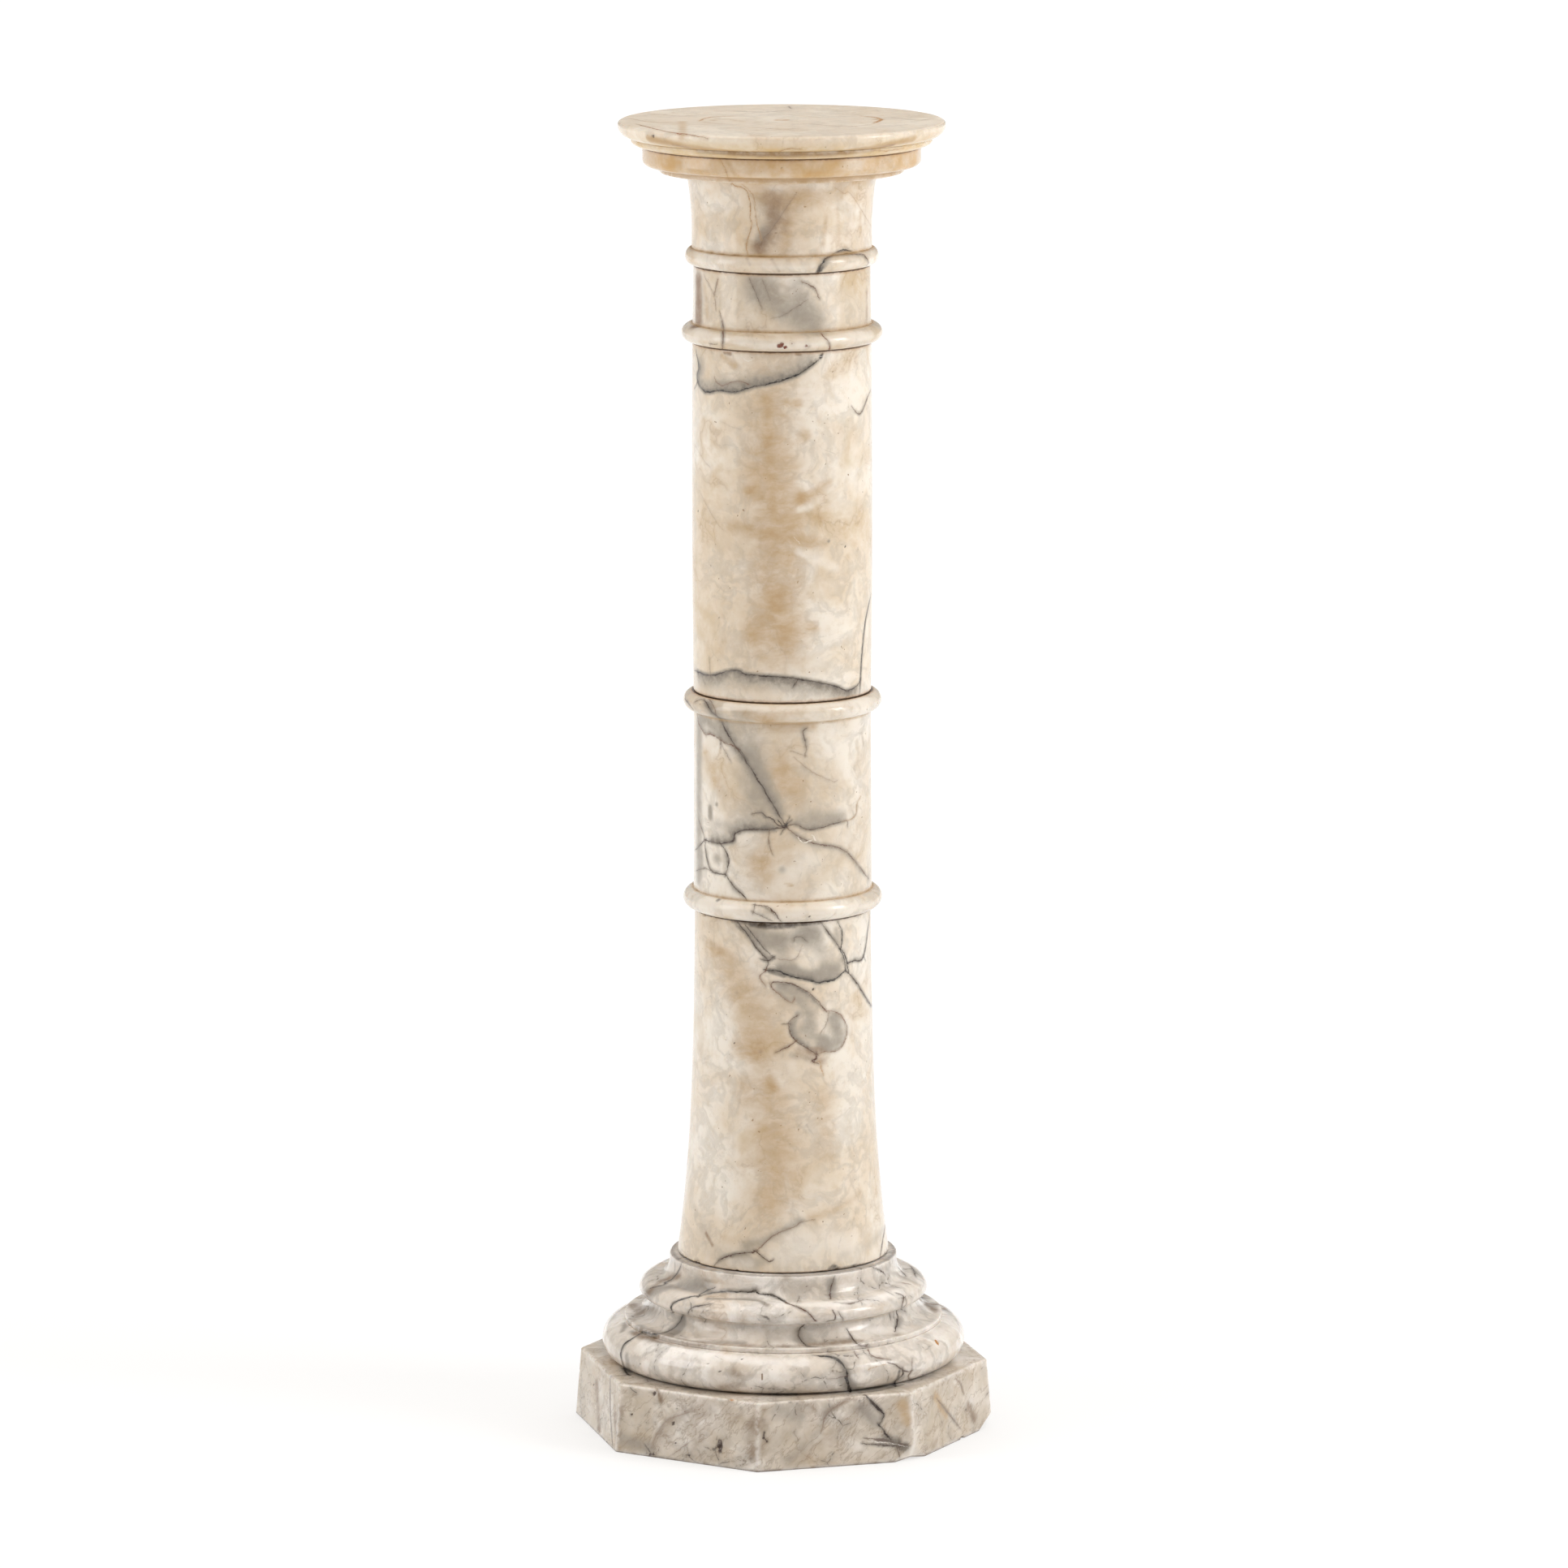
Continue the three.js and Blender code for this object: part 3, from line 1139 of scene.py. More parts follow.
    def gild(self) -> None:
        """Lets the stone turn golden between two levels, and darkens, spots and roughens the top."""
        tones = self.marble
        warm = (self.level + self.noise(12.0) * 4 - 2).step(*tones.gilding)
        self.lay(tones.gilt, warm * (self.noise(26.0, 4.0, 0.6).step(0.3, 0.72) * 0.65 + 0.35))
        if tones.top_wear:
            # The top is darker and rougher, with amber spots.
            top = self.level.step(1015.0, 1015.8)
            self.lay(tones.dusk, top * (self.noise(20.0, 4.0) * 0.5 + 0.1))
            self.lay(tones.amber, top * self.noise(9.0, 5.0, 0.7).step(0.55, 0.8) * 0.5)
            self.rough = self.rough + top * tones.top_wear

    def stains(self) -> None:
        """Lays the clouds of the photograph over the ground, broken up by the stone's own grain. Some clouds are
        painted shade, painted reflections or painted highlights.
        """
        tones = self.marble
        flow = self.bend(16.0, 12.0)
        streaks = self.noise(17.0, 6.0, 0.62, self.graph.vector("MULTIPLY", flow, self.STAIN_SQUEEZE)) - 0.5
        puffs = self.noise(9.0, 5.0, 0.62, flow) - 0.5
        rust = puffs * 1.1 if self.streak is None else self.streak * 2.8
        paints = {Tone.AMBER: (tones.amber, streaks * 0.9), Tone.GREY: (tones.grey, puffs * 0.8),
                  Tone.BROWN: (tones.brown, rust), Tone.PALE: (tones.pale, puffs * 0.9),
                  Tone.INK: (tones.ink, puffs * 1.5)}
        for tone, (paint, chance) in paints.items():
            mark = self.mask(tone.value)
            full = 0.75 if tone in (Tone.BROWN, Tone.GREY) else 0.45
            self.lay(paint, (mark + chance).step(-0.15, 1.1) * mark.step(0.0, full))

    def hairlines(self) -> None:
        """Draws a faint, broken net of hairline veins through the stone."""
        tones = self.marble
        inputs = {"Vector": self.bend(24.0, 16.0), "Scale": 1 / tones.net_size}
        net = self.graph.add("ShaderNodeTexVoronoi", {"feature": "DISTANCE_TO_EDGE"}, inputs, "Distance")
        edge = net * tones.net_size
        patch = self.noise(38.0).step(0.47, 0.62)
        worn = self.noise(4.0, 3.0, 0.6)
        self.lay(tones.grey, edge.step(6.0, 0.0) * patch * worn * (0.9 * tones.net))
        hair = edge.step(0.7, 0.0) * patch * worn.step(0.38, 0.6)
        self.lay(self.graph.mix(tones.brown, tones.smoke, worn.step(0.4, 0.6)), hair * tones.net)

    def veins(self) -> None:
        """Draws the veins with the grey that lies along them."""
        tones, mix = self.marble, self.graph.mix
        puffs = self.noise(6.0, 5.0, 0.65, self.bend(9.0, 5.0))
        halo = self.mask("halo")
        self.lay(tones.grey, (halo * (0.35 + puffs * 1.3)).step(0.0, 0.9))
        self.lay(tones.smoke, (halo + (puffs - 0.5) * 1.2).step(0.6, 1.3) * 0.7)
        jitter = (self.noise(5.0) - 0.5) * 2.2 + (self.noise(1.5, 3.0, 0.7) - 0.5) * 1.9
        swell = self.noise(10.0, 3.0, 0.6).step(0.32, 0.7) * 1.9 + 0.1
        depth = self.noise(8.0, 3.0, 0.6).step(0.25, 0.6) * 0.5 + 0.5
        breaks = self.noise(2.4, 3.0, 0.7).step(0.32, 0.52) * 0.5 + 0.5
        for index in range(Skin.LAYERS):
            side, near, width = self.marks(f"vein_{index}")
            warmth, strength, chalk = self.marks(f"vein_tone_{index}")
            gap = abs(side + jitter)
            close = (near - width).step(2.0, 0.6)
            edge = gap - width * swell * tones.bold
            line = edge.step(0.27, -0.06) * close * strength * depth * breaks
            blur = (near - width).step(3.6, 0.8) * strength * (1 - chalk)
            stain = gap.step(3.6, 0.0) * (0.06 + puffs * 0.34) + gap.step(1.7, 0.0) * 0.22
            orange = warmth.step(0.65, 1.0)
            paint = mix(mix(tones.ink, tones.rust, warmth * 1.5), tones.ochre, orange)
            soft = mix(mix(tones.smoke, tones.brown, warmth * 1.4), tones.amber, orange)
            self.lay(soft, stain * blur)
            self.lay(mix(paint, tones.pale, chalk), line)
            self.lines = line if self.lines is None else self.lines.at_least(line)

    def handling(self) -> None:
        """Adds soiling and painted shade in the creases, a dark line and a painted glow along the seams, darkens the
        pits, and lightens the arrises for worn edges and a painted highlight.
        """
        tones = self.marble
        crease, arris, joint, pit, nick = map(self.mask, ("crease", "arris", "joint", "pit", "nick"))
        patchy = self.noise(9.0, 4.0, 0.6)
        ragged = self.noise(4.5, 4.0, 0.65) - 0.5
        # Painted shade with soiling: the creases darken to amber and then to near-black.
        crease_film_and_shade = crease * (0.3 + patchy)
        self.lay(tones.amber, crease_film_and_shade.step(0.2, 1.0) * tones.crease_soiling_and_shade)
        self.lay(tones.grime_and_shade, crease_film_and_shade.step(0.72, 1.15) * (tones.crease_soiling_and_shade * 0.7))
        # Pale arrises: worn edges, and a painted highlight along the polished arris.
        self.lay(tones.pale, arris * patchy.step(0.35, 0.6) * tones.edge_wear_and_highlight)
        self.lay(tones.pale, nick * (0.5 * tones.edge_wear_and_highlight))
        # Painted glow: an orange band along the seams for light shining through the stone's edge; the near-black line
        # on the seam itself is the dark joint.
        self.lay(tones.glow, (joint + ragged * 0.8).step(0.1, 0.9) * tones.seam_glow)
        self.lay(tones.grime_and_shade, (joint + ragged * 0.5).step(0.7, 0.98) * tones.seam)
        self.lay(tones.grime_and_shade, pit.step(0.1, 0.7) * 0.85)
        self.rough = self.rough + crease * 0.25 + pit * 0.3 + nick * 0.25 + self.mask("facet") * 0.12

    def finish(self) -> None:
        """Links the colour, the polish and a fine bump to the shader."""
        height = self.noise(1.1, 2.0) * 0.008 + self.noise(5.0, 2.0) * 0.04 - self.lines * 0.10
        height = height - self.mask("pit") * 0.3
        bump = self.graph.add("ShaderNodeBump", None, {"Strength": 1.0, "Distance": MM, "Height": height})
        inputs = {"Base Color": self.colour, "Roughness": self.rough + self.lines * 0.1, "Normal": bump,
                  "Subsurface Weight": self.marble.translucence, "Subsurface Radius": self.RADII,
                  "Subsurface Scale": self.DEPTH, "Specular IOR Level": 0.5}
        self.graph.show(self.graph.add("ShaderNodeBsdfPrincipled", None, inputs))


@dataclass(frozen=True)
class Strays:
    """Veins that are strewn over the sides that the photograph doesn't show."""

    count: int = 12
    angles: tuple[float, float] = (82.0, 238.0)
    shades: tuple[float, float] = (1.0, 11.0)


@dataclass
class Workshop:
    """What every block is made with."""

    camera: PhotoCamera
    turning: Recipe
    wearing: Recipe
    scene: bpy.types.Scene

    def bake(self, mesh: bpy.types.Mesh, stages: Sequence[tuple[Recipe, dict]]) -> bpy.types.Mesh:
        """Runs a mesh through recipes and makes the result a plain mesh.

        Args:
            mesh: The mesh that the recipes start from.
            stages: Each recipe with its inputs, in order.

        Returns:
            The finished mesh.
        """
        blank = bpy.data.objects.new("blank", mesh)
        self.scene.collection.objects.link(blank)
        for recipe, inputs in stages:
            recipe.put_on(blank, **inputs)
        graph = bpy.context.evaluated_depsgraph_get()
        made = bpy.data.meshes.new_from_object(blank.evaluated_get(graph))
        blank.modifiers.clear()
        bpy.data.objects.remove(blank)
        bpy.data.meshes.remove(mesh)
        return made


@dataclass
class Block:
    """One turned block of the pedestal."""

    node: str
    slot: str
    seed: int
    finish: Marble
    segments: int = 360
    spacing: float = 1.5
    flats: int = 8
    crowding: float = 0.0
    softness: float = 0.0
    unevenness: float = 0.25
    nick_depth: float = 0.35
    pit_density: float = 250.0
    pit_radius: float = 0.9
    pit_depth: float = 0.25
    strays: Strays = Strays()
    veins: tuple[Vein, ...] = ()
    clouds: tuple[Cloud, ...] = ()
    pits: tuple[Pit, ...] = ()

    def stations(self) -> list[Station]:
        """Gives the block's outline, from the axis below to the axis above."""
        raise NotImplementedError

    def break_corners(self, skin: Skin) -> None:
        """Breaks off the block's larger chips, where it has any."""

    def build(self, workshop: Workshop) -> bpy.types.Object:
        """Makes the block, with its marks and its finish.

        Args:
            workshop: What it is made with.

        Returns:
            The piece.
        """
        outline = Outline(self.stations(), self.spacing)
        turning = {"Segments": self.segments, "Flats": self.flats, "Crowding": self.crowding,
                   "Softness": self.softness, "Arris_reach": Outline.ARRIS_REACH * MM}
        wearing = {"Unevenness": self.unevenness, "Nick_depth": self.nick_depth, "Pit_density": self.pit_density,
                   "Pit_radius": self.pit_radius * MM, "Pit_depth": self.pit_depth, "Seed": self.seed,
                   "Finish": self.finish.make(f"{self.node}_marble", self.seed)}
        stages = ((workshop.turning, turning), (workshop.wearing, wearing))
        mesh = workshop.bake(outline.mesh(f"{self.node}_outline"), stages)
        mesh.name = f"dressed_{self.node}"
        self.mark(Skin(mesh), workshop.camera)
        piece = bpy.data.objects.new(mesh.name, mesh)
        workshop.scene.collection.objects.link(piece)
        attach(piece, BODY)
        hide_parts(self.node)
        LOG.info("%s: %d faces", piece.name, len(mesh.polygons))
        return piece

    def mark(self, skin: Skin, camera: PhotoCamera) -> None:
        """Draws the block's marks on its skin.

        Args:
            skin: The skin.
            camera: The photograph's camera.
        """
        for vein in self.veins:
            skin.draw_vein(skin.trace(camera, vein.path), vein)
        for cloud in self.clouds:
            skin.draw_cloud(skin.trace(camera, cloud.path), cloud)
        self.stray(skin)
        for pit in self.pits:
            skin.sink_pit(skin.trace(camera, (pit.pixel,)), pit)
        self.break_corners(skin)
        skin.save()

    def stray(self, skin: Skin) -> None:
        """Strews veins and clouds over the unseen sides."""
        rng = random.Random(self.seed)
        levels = [station.level for station in self.stations()]
        span = (min(levels) + 1.5, max(levels) - 1.5)
        for _ in range(self.strays.count):
            line = skin.wander(rng, span, self.strays.angles)
            left, right = rng.uniform(*self.strays.shades), rng.uniform(*self.strays.shades) * 0.4
            warmth, strength = rng.choice((0.05, 0.2, 0.8)), rng.uniform(0.35, 1.0)
            skin.draw_vein(line, Vein((), rng.uniform(0.3, 0.8), left, right, warmth, strength))
            tone = rng.choice((Tone.AMBER, Tone.GREY, Tone.BROWN))
            cloud_line = skin.wander(rng, span, self.strays.angles)
            skin.draw_cloud(cloud_line, Cloud((), rng.uniform(6, 18), tone, rng.uniform(0.2, 0.6)))


@dataclass
class TopSlab(Block):
    """The round display slab, with its rim moulding and the bead under it."""

    bottom: float = 997.3
    top: float = 1016.0
    bead_foot: float = 106.6
    bead_swell: float = 114.8
    bead_level: float = 1001.5
    bead_top: float = 1003.4
    ovolo_foot: float = 113.2
    ovolo_swell: float = 124.9
    ovolo_level: float = 1013.4
    rim: float = 121.5
    top_middle: float = 4.0

    def stations(self) -> list[Station]:
        """Gives the slab's outline."""
        foot = Station(self.bead_foot, self.bottom, 0.3)
        bead = Station(self.bead_swell, self.bead_level)
        ledge = Station(self.ovolo_foot, self.bead_top, 0.3)
        swell = Station(self.ovolo_swell, self.ovolo_level)
        return [
            Station(0, self.bottom),
            foot,
            *quarter(foot, bead, True),
            Station(self.bead_swell, self.bead_top, 0.4),
            ledge,
            *quarter(ledge, swell, True),
            *quarter(swell, Station(self.rim, self.top, 0.7), False, 6),
            Station(self.top_middle, self.top),
            Station(0, self.top),
        ]


@dataclass
class Capital(Block):
    """The abacus, the step under it, the flared neck and the first ring."""

    ring: Ring = Ring(906.4, 919.6, 73.9, 67.6, 68.9)
    waist: float = 68.8
    waist_level: float = 931.0
    neck_top: float = 73.1
    flare: float = 2.2
    step_radius: float = 93.0
    step_bottom: float = 977.3
    abacus_radius: float = 106.1
    abacus_bottom: float = 982.5
    abacus_top: float = 997.0
    abacus_arris: float = 4.2

    def stations(self) -> list[Station]:
        """Gives the capital's outline."""
        belly = Station(self.abacus_radius - self.abacus_arris, self.abacus_bottom, 0.4)
        side = Station(self.abacus_radius, self.abacus_bottom + self.abacus_arris)
        neck = stretch(self.waist_level, self.step_bottom, self.neck_radius)
        return [
            Station(0, self.ring.bottom + BED_JOINT),
            *self.ring.stations(BED_JOINT),
            *neck,
            Station(self.step_radius, self.step_bottom, 0.8),
            Station(self.step_radius, self.abacus_bottom, 0.3),
            belly,
            *quarter(belly, side, True, 6),
            Station(self.abacus_radius, self.abacus_top, 0.5),
            Station(0, self.abacus_top),
        ]

    def neck_radius(self, height: float) -> float:
        """Gives the neck's radius at a share of its height."""
        return self.waist + (self.neck_top - self.waist) * height**self.flare


@dataclass
class NeckingDrum(Block):
    """The short drum with the second ring at its foot."""

    ring: Ring = Ring(847.4, 861.8, 76.9, 68.6, 68.4)
    neck: float = 67.6
    top: float = 906.4

    def stations(self) -> list[Station]:
        """Gives the drum's outline."""
        rise = [Station(0, self.ring.bottom + BED_JOINT), *self.ring.stations(BED_JOINT)]
        return [*rise, Station(self.neck, self.top, 0.6), Station(0, self.top)]


@dataclass
class UpperShaft(Block):
    """The long plain shaft, with a slight swell."""

    bottom: float = 578.2
    top: float = 847.4
    foot: float = 68.4
    neck: float = 68.6
    entasis: float = 0.7

    def stations(self) -> list[Station]:
        """Gives the shaft's outline."""
        side = stretch(self.bottom, self.top, self.radius)
        side[0] = Station(side[0].radius, side[0].level, 0.7)
        side[-1] = Station(side[-1].radius, side[-1].level, 0.7)
        return [Station(0, self.bottom), *side, Station(0, self.top)]

    def radius(self, height: float) -> float:
        """Gives the shaft's radius at a share of its height."""
        return self.foot + (self.neck - self.foot) * height + self.entasis * math.sin(math.pi * height)


@dataclass
class MiddleDrum(Block):
    """The short drum between the third ring and the fourth, in one block with both."""

    lower_ring: Ring = Ring(408.3, 424.2, 76.9, 68.0, 68.9)
    upper_ring: Ring = Ring(563.3, 577.9, 76.3, 68.2, 68.6)

    def stations(self) -> list[Station]:
        """Gives the drum's outline."""
        bottom = self.lower_ring.bottom + BED_JOINT
        rings = [*self.lower_ring.stations(BED_JOINT), *self.upper_ring.stations()]
        return [Station(0, bottom), *rings, Station(0, self.upper_ring.top)]


@dataclass
class LowerShaft(Block):
    """The plain shaft that flares a little to its worn foot."""

    bottom: float = 135.9
    top: float = 408.3
    arris: float = 1.5
    neck: float = 68.0
    taper: float = 3.6
    flare: float = 10.6
    flare_power: float = 3.5

    def stations(self) -> list[Station]:
        """Gives the shaft's outline."""
        side = stretch(self.bottom + self.arris, self.top, self.radius, 40)
        side[-1] = Station(side[-1].radius, side[-1].level, 0.7)
        return [
            Station(0, self.bottom),
            Station(self.radius(0) - self.arris, self.bottom, 0.6),
            Station(side[0].radius, side[0].level, 0.6),
            *side[1:],
            Station(0, self.top),
        ]

    def radius(self, height: float) -> float:
        """Gives the shaft's radius at a share of its height."""
        drop = 1 - height
        return self.neck + self.taper * drop + self.flare * drop**self.flare_power


@dataclass(frozen=True)
class CornerChip:
    """A chip at the foot of a corner of the plinth: how far in along the floor, and how far up the corner."""

    corner: float
    reach: float
    rise: float


@dataclass
class Base(Block):
    """The eight-sided plinth with the turned mouldings over it, in one block."""

    plinth_height: float = 53.0
    half_across_top: float = 147.5
    half_across_bottom: float = 151.7
    torus_foot: float = 127.3
    torus_swell: float = 141.1
    torus_swell_level: float = 67.3
    torus_crown: float = 122.0
    torus_crown_level: float = 83.2
    fillet: float = 123.6
    fillet_top: float = 87.0
    lip: float = 119.6
    throat: float = 103.8
    throat_level: float = 101.6
    upper_swell: float = 111.9
    upper_swell_level: float = 107.2
    upper_crown: float = 96.0
    upper_crown_level: float = 117.8
    shoulder: float = 88.3
    shoulder_spring: float = 131.6
    shoulder_level: float = 135.6
    shoulder_arris: float = 1.2
    chips: tuple[CornerChip, ...] = (CornerChip(22.5, 7.0, 17.0), CornerChip(67.5, 9.0, 12.0))

    def stations(self) -> list[Station]:
        """Gives the base's outline, whose plinth rows have flats."""
        foot = Station(self.torus_foot, self.plinth_height, 0.4)
        swell = Station(self.torus_swell, self.torus_swell_level)
        crown = Station(self.torus_crown, self.torus_crown_level, 0.3)
        lip = Station(self.lip, self.fillet_top, 0.3)
        throat = Station(self.throat, self.throat_level, 0.4)
        upper = Station(self.upper_swell, self.upper_swell_level)
        hollow = Station(self.upper_crown, self.upper_crown_level, 0.6)
        spring = Station(self.shoulder, self.shoulder_spring)
        return [
            Station(0, 0, 0, 1),
            Station(self.half_across_bottom, 0, 1.0, 1),
            Station(self.half_across_top, self.plinth_height, 1.6, 1),
            foot,
            *quarter(foot, swell, True),
            *quarter(swell, crown, False),
            Station(self.fillet, self.torus_crown_level, 0.5),
            Station(self.fillet, self.fillet_top, 0.6),
            lip,
            *quarter(lip, throat, True),
            *quarter(throat, upper, True, 8),
            *quarter(upper, hollow, False),
            *quarter(hollow, spring, True),
            Station(self.shoulder, self.shoulder_level - self.shoulder_arris, 0.4),
            Station(self.shoulder - self.shoulder_arris, self.shoulder_level, 0.4),
            Station(0, self.shoulder_level),
        ]

    def break_corners(self, skin: Skin) -> None:
        """Breaks off the chips at the foot of the plinth."""
        for chip in self.chips:
            angle = math.radians(chip.corner)
            edge = self.half_across_bottom / math.cos(math.pi / self.flats)
            outward = Vector((math.sin(angle), -math.cos(angle), 0))
            foot = outward * (edge - chip.reach)
            skin.break_off(foot, outward * chip.rise - Vector((0, 0, chip.reach)))


SLAB_VEINS = (
    Vein(((776, 146), (800, 150), (838, 151)), 0.6, 0.3, 0.3, 0.9, 0.8), Vein(((785, 153), (800, 157),
    (826, 163), (850, 166), (870, 170)), 1.3, 0.3, 0.3, 0.8, 1.0), Vein(((800, 140), (836, 143), (858, 142)),
    0.5, 0.3, 0.3, 0.8, 0.7), Vein(((862, 149), (868, 146), (880, 144), (902, 143)), 1.8, 0.3, 0.3, 0.95,
    1.0), Vein(((866, 150), (880, 152), (900, 153)), 0.6, 0.3, 0.3, 0.9, 0.7), Vein(((905, 137), (940, 138),
    (972, 136)), 0.5, 0.3, 0.3, 0.6, 0.7), Vein(((972, 131), (976, 134), (990, 134)), 0.5, 0.3, 0.3, 0.3,
    0.9), Vein(((1000, 153), (1040, 156), (1070, 154)), 0.5, 0.3, 0.3, 0.8, 0.7), Vein(((1062, 143),
    (1080, 145), (1086, 148), (1076, 152)), 2.0, 0.3, 0.3, 0.95, 1.0), Vein(((1086, 148), (1078, 150)), 2.4,
    0.3, 0.3, 0.9, 1.0), Vein(((1100, 145), (1130, 148), (1150, 146)), 0.5, 0.3, 0.3, 0.7, 0.7),
    Vein(((930, 157), (960, 159), (985, 158)), 0.5, 0.3, 0.3, 0.8, 0.6), Vein(((1060, 184), (1090, 186),
    (1112, 183)), 0.5, 0.3, 0.3, 0.9, 0.8), Vein(((962, 186), (974, 183), (985, 184)), 0.7, 0.3, 0.3, 0.85,
    0.8),
)
SLAB_CLOUDS = (
    # The brown cloud and the first amber cloud run round the bead under the rim: golden stone darkened as a painted
    # shadow under the rim.
    *clouds(Tone.BROWN, (5, 0.6, (830, 179), (880, 187), (965, 191), (1050, 187), (1100, 179))),
    *clouds(Tone.AMBER, (7, 0.9, (800, 172), (870, 184), (965, 189), (1060, 184), (1125, 172)),
    (9, 0.8, (1083, 147)), (7, 0.7, (841, 150), (841, 166)), (6, 0.7, (879, 148))),
    *clouds(Tone.GREY, (5, 0.3, (972, 132), (978, 166), (980, 190))),
)
SLAB_PITS = (
    Pit((804, 168), 2.2, 1.6),
)

CAPITAL_VEINS = (
    Vein(((898, 222), (906, 229), (914, 231), (920, 236), (923, 244), (925, 256), (924, 268), (926, 278),
    (920, 300), (921, 313)), 0.5, 0.4, 0.4, 1.0, 0.8), Vein(((887, 196), (893, 206), (898, 222)), 0.5, 0.4,
    0.4, 1.0, 0.6), Vein(((916, 228), (924, 236), (929, 244), (932, 272), (938, 294)), 0.45, 0.4, 0.4, 1.0,
    0.5), Vein(((980, 240), (950, 284), (942, 292), (938, 300)), 0.3, 0.4, 5, 0.3, 0.3), Vein(((1030, 232),
    (1040, 238), (1049, 240), (1073, 278)), 0.4, 0.4, 0.4, 0.8, 0.3), Vein(((1007, 339), (1014, 323),
    (1018, 318), (1034, 310), (1042, 308), (1051, 311)), 1.5, 0, 3, 0.0, 1.0, (1.0, 0.4)), Vein(((1018, 318),
    (1030, 314), (1060, 313), (1067, 317), (1070, 323), (1067, 329)), 0.5, 0, 5, 0.3, 0.8),
)
CAPITAL_CLOUDS = (
    # Painted highlight: the pale cloud along ring 1.
    *clouds(Tone.PALE, (8, 0.55, (862, 316), (966, 327), (1000, 326))),
    # Painted shadow: the brown cloud along (860, 187) to (1065, 187) darkens the abacus top under the slab.
    *clouds(Tone.BROWN, (18, 0.5, (948, 244), (952, 275), (940, 303)), (22, 0.35, (968, 250), (966, 300)),
    (10, 0.4, (860, 187), (965, 193), (1065, 187)), (9, 0.4, (925, 302), (935, 308)), (3, 0.6, (920, 318),
    (924, 326)), (3, 0.5, (951, 320), (960, 334))),
    *clouds(Tone.GREY, (14, 0.5, (955, 262), (935, 300)), (8, 0.8, (942, 286), (938, 296)), (6, 0.8,
    (1010, 334), (1018, 322)), (5, 0.3, (1025, 322), (1060, 322))),
    # Painted shadow, golden: the amber clouds along (850, 186) to (1075, 186) and (900, 184) to (1040, 184) lie under
    # the slab, and the one along (935, 238) to (1035, 238) lies under the step with a brown tint.
    *clouds(Tone.AMBER, (15, 0.85, (850, 186), (965, 193), (1075, 186)), (14, 0.5, (900, 184), (1040, 184)),
    (30, 0.3, (975, 250), (985, 300)), (4, 0.5, (894, 195), (905, 215)), (15, 0.45, (935, 238), (960, 247),
    (1035, 238)), (5, 0.35, (1018, 268), (1015, 300)), (5, 0.35, (1032, 258), (1034, 300)), (5, 0.35,
    (1060, 262), (1060, 290)), (8, 0.3, (970, 276), (966, 312)), (8, 0.5, (800, 212), (960, 223),
    (1120, 212))),
    *clouds(Tone.INK, (4.2, 0.95, (1007, 338), (1011, 330)), (2.6, 0.6, (1032, 311), (1047, 310))),
)

NECKING_VEINS = (
    Vein(((884, 346), (880, 363)), 0.7, 2, 2, 0.5, 0.8), Vein(((868, 340), (880, 363)), 0.4, 0, 3, 0.5, 0.5),
    Vein(((881, 371), (882, 381)), 0.6, 2, 2, 0.5, 0.7), Vein(((887, 386), (890, 396), (891, 408),
    (890, 431)), 0.8, 3, 3, 0.4, 0.9, (0.4, 0.8)), Vein(((924, 344), (938, 378)), 0.4, 9, 0, 0.2, 0.6),
    Vein(((940, 346), (948, 368)), 0.5, 3, 3, 0.2, 0.4), Vein(((952, 392), (966, 388), (994, 370)), 0.5, 4,
    4, 0.2, 0.35), Vein(((990, 348), (1001, 353), (1005, 357), (1009, 367)), 0.7, 0, 3, 0.4, 0.9),
    Vein(((1013, 412), (1022, 424), (1022, 433)), 1.0, 2, 2, 0.6, 0.8, (0.4, 1.0)), Vein(((876, 424),
    (882, 424)), 0.6, 0, 0, 0.3, 0.8), *specks(4.4, 0.6, (960, 426)), *specks(3.0, 0.6, (963, 424)),
    *specks(2.4, 0.6, (967.5, 428)), *specks(1.5, 0.6, (976, 424)), *specks(3.4, 0.6, (993.5, 426.5)),
    *specks(2.6, 0.6, (997, 427)), Vein(((1057, 430),), 2.3, 0, 0, 0.45, 0.8, (0.7, 0.7)), *specks(2.6, 0.45,
    (1072, 427)),
)
NECKING_CLOUDS = (
    # Painted highlight: the pale cloud along ring 2.
    *clouds(Tone.PALE, (8, 0.7, (858, 412), (966, 425), (1074, 412))),
    *clouds(Tone.GREY, (22, 0.6, (935, 352), (965, 378), (1000, 400)), (12, 0.45, (985, 350), (995, 385)),
    (9, 0.5, (864, 345), (864, 400)), (30, 0.4, (925, 360), (960, 372), (1005, 392))),
    *clouds(Tone.PALE, (7, 0.4, (964, 358)), (1.0, 0.5, (914, 392), (968, 393))),
    # Painted reflection: the brown clouds down the left and right edges of the drum, at x 860 and 1068, are dark
    # reflections.
    *clouds(Tone.BROWN, (14, 0.95, (860, 345), (860, 400)), (8, 0.55, (1068, 360), (1068, 398)), (22, 0.3,
    (930, 350), (985, 360))),
    *clouds(Tone.AMBER, (7, 0.35, (868, 350), (872, 390))),
)

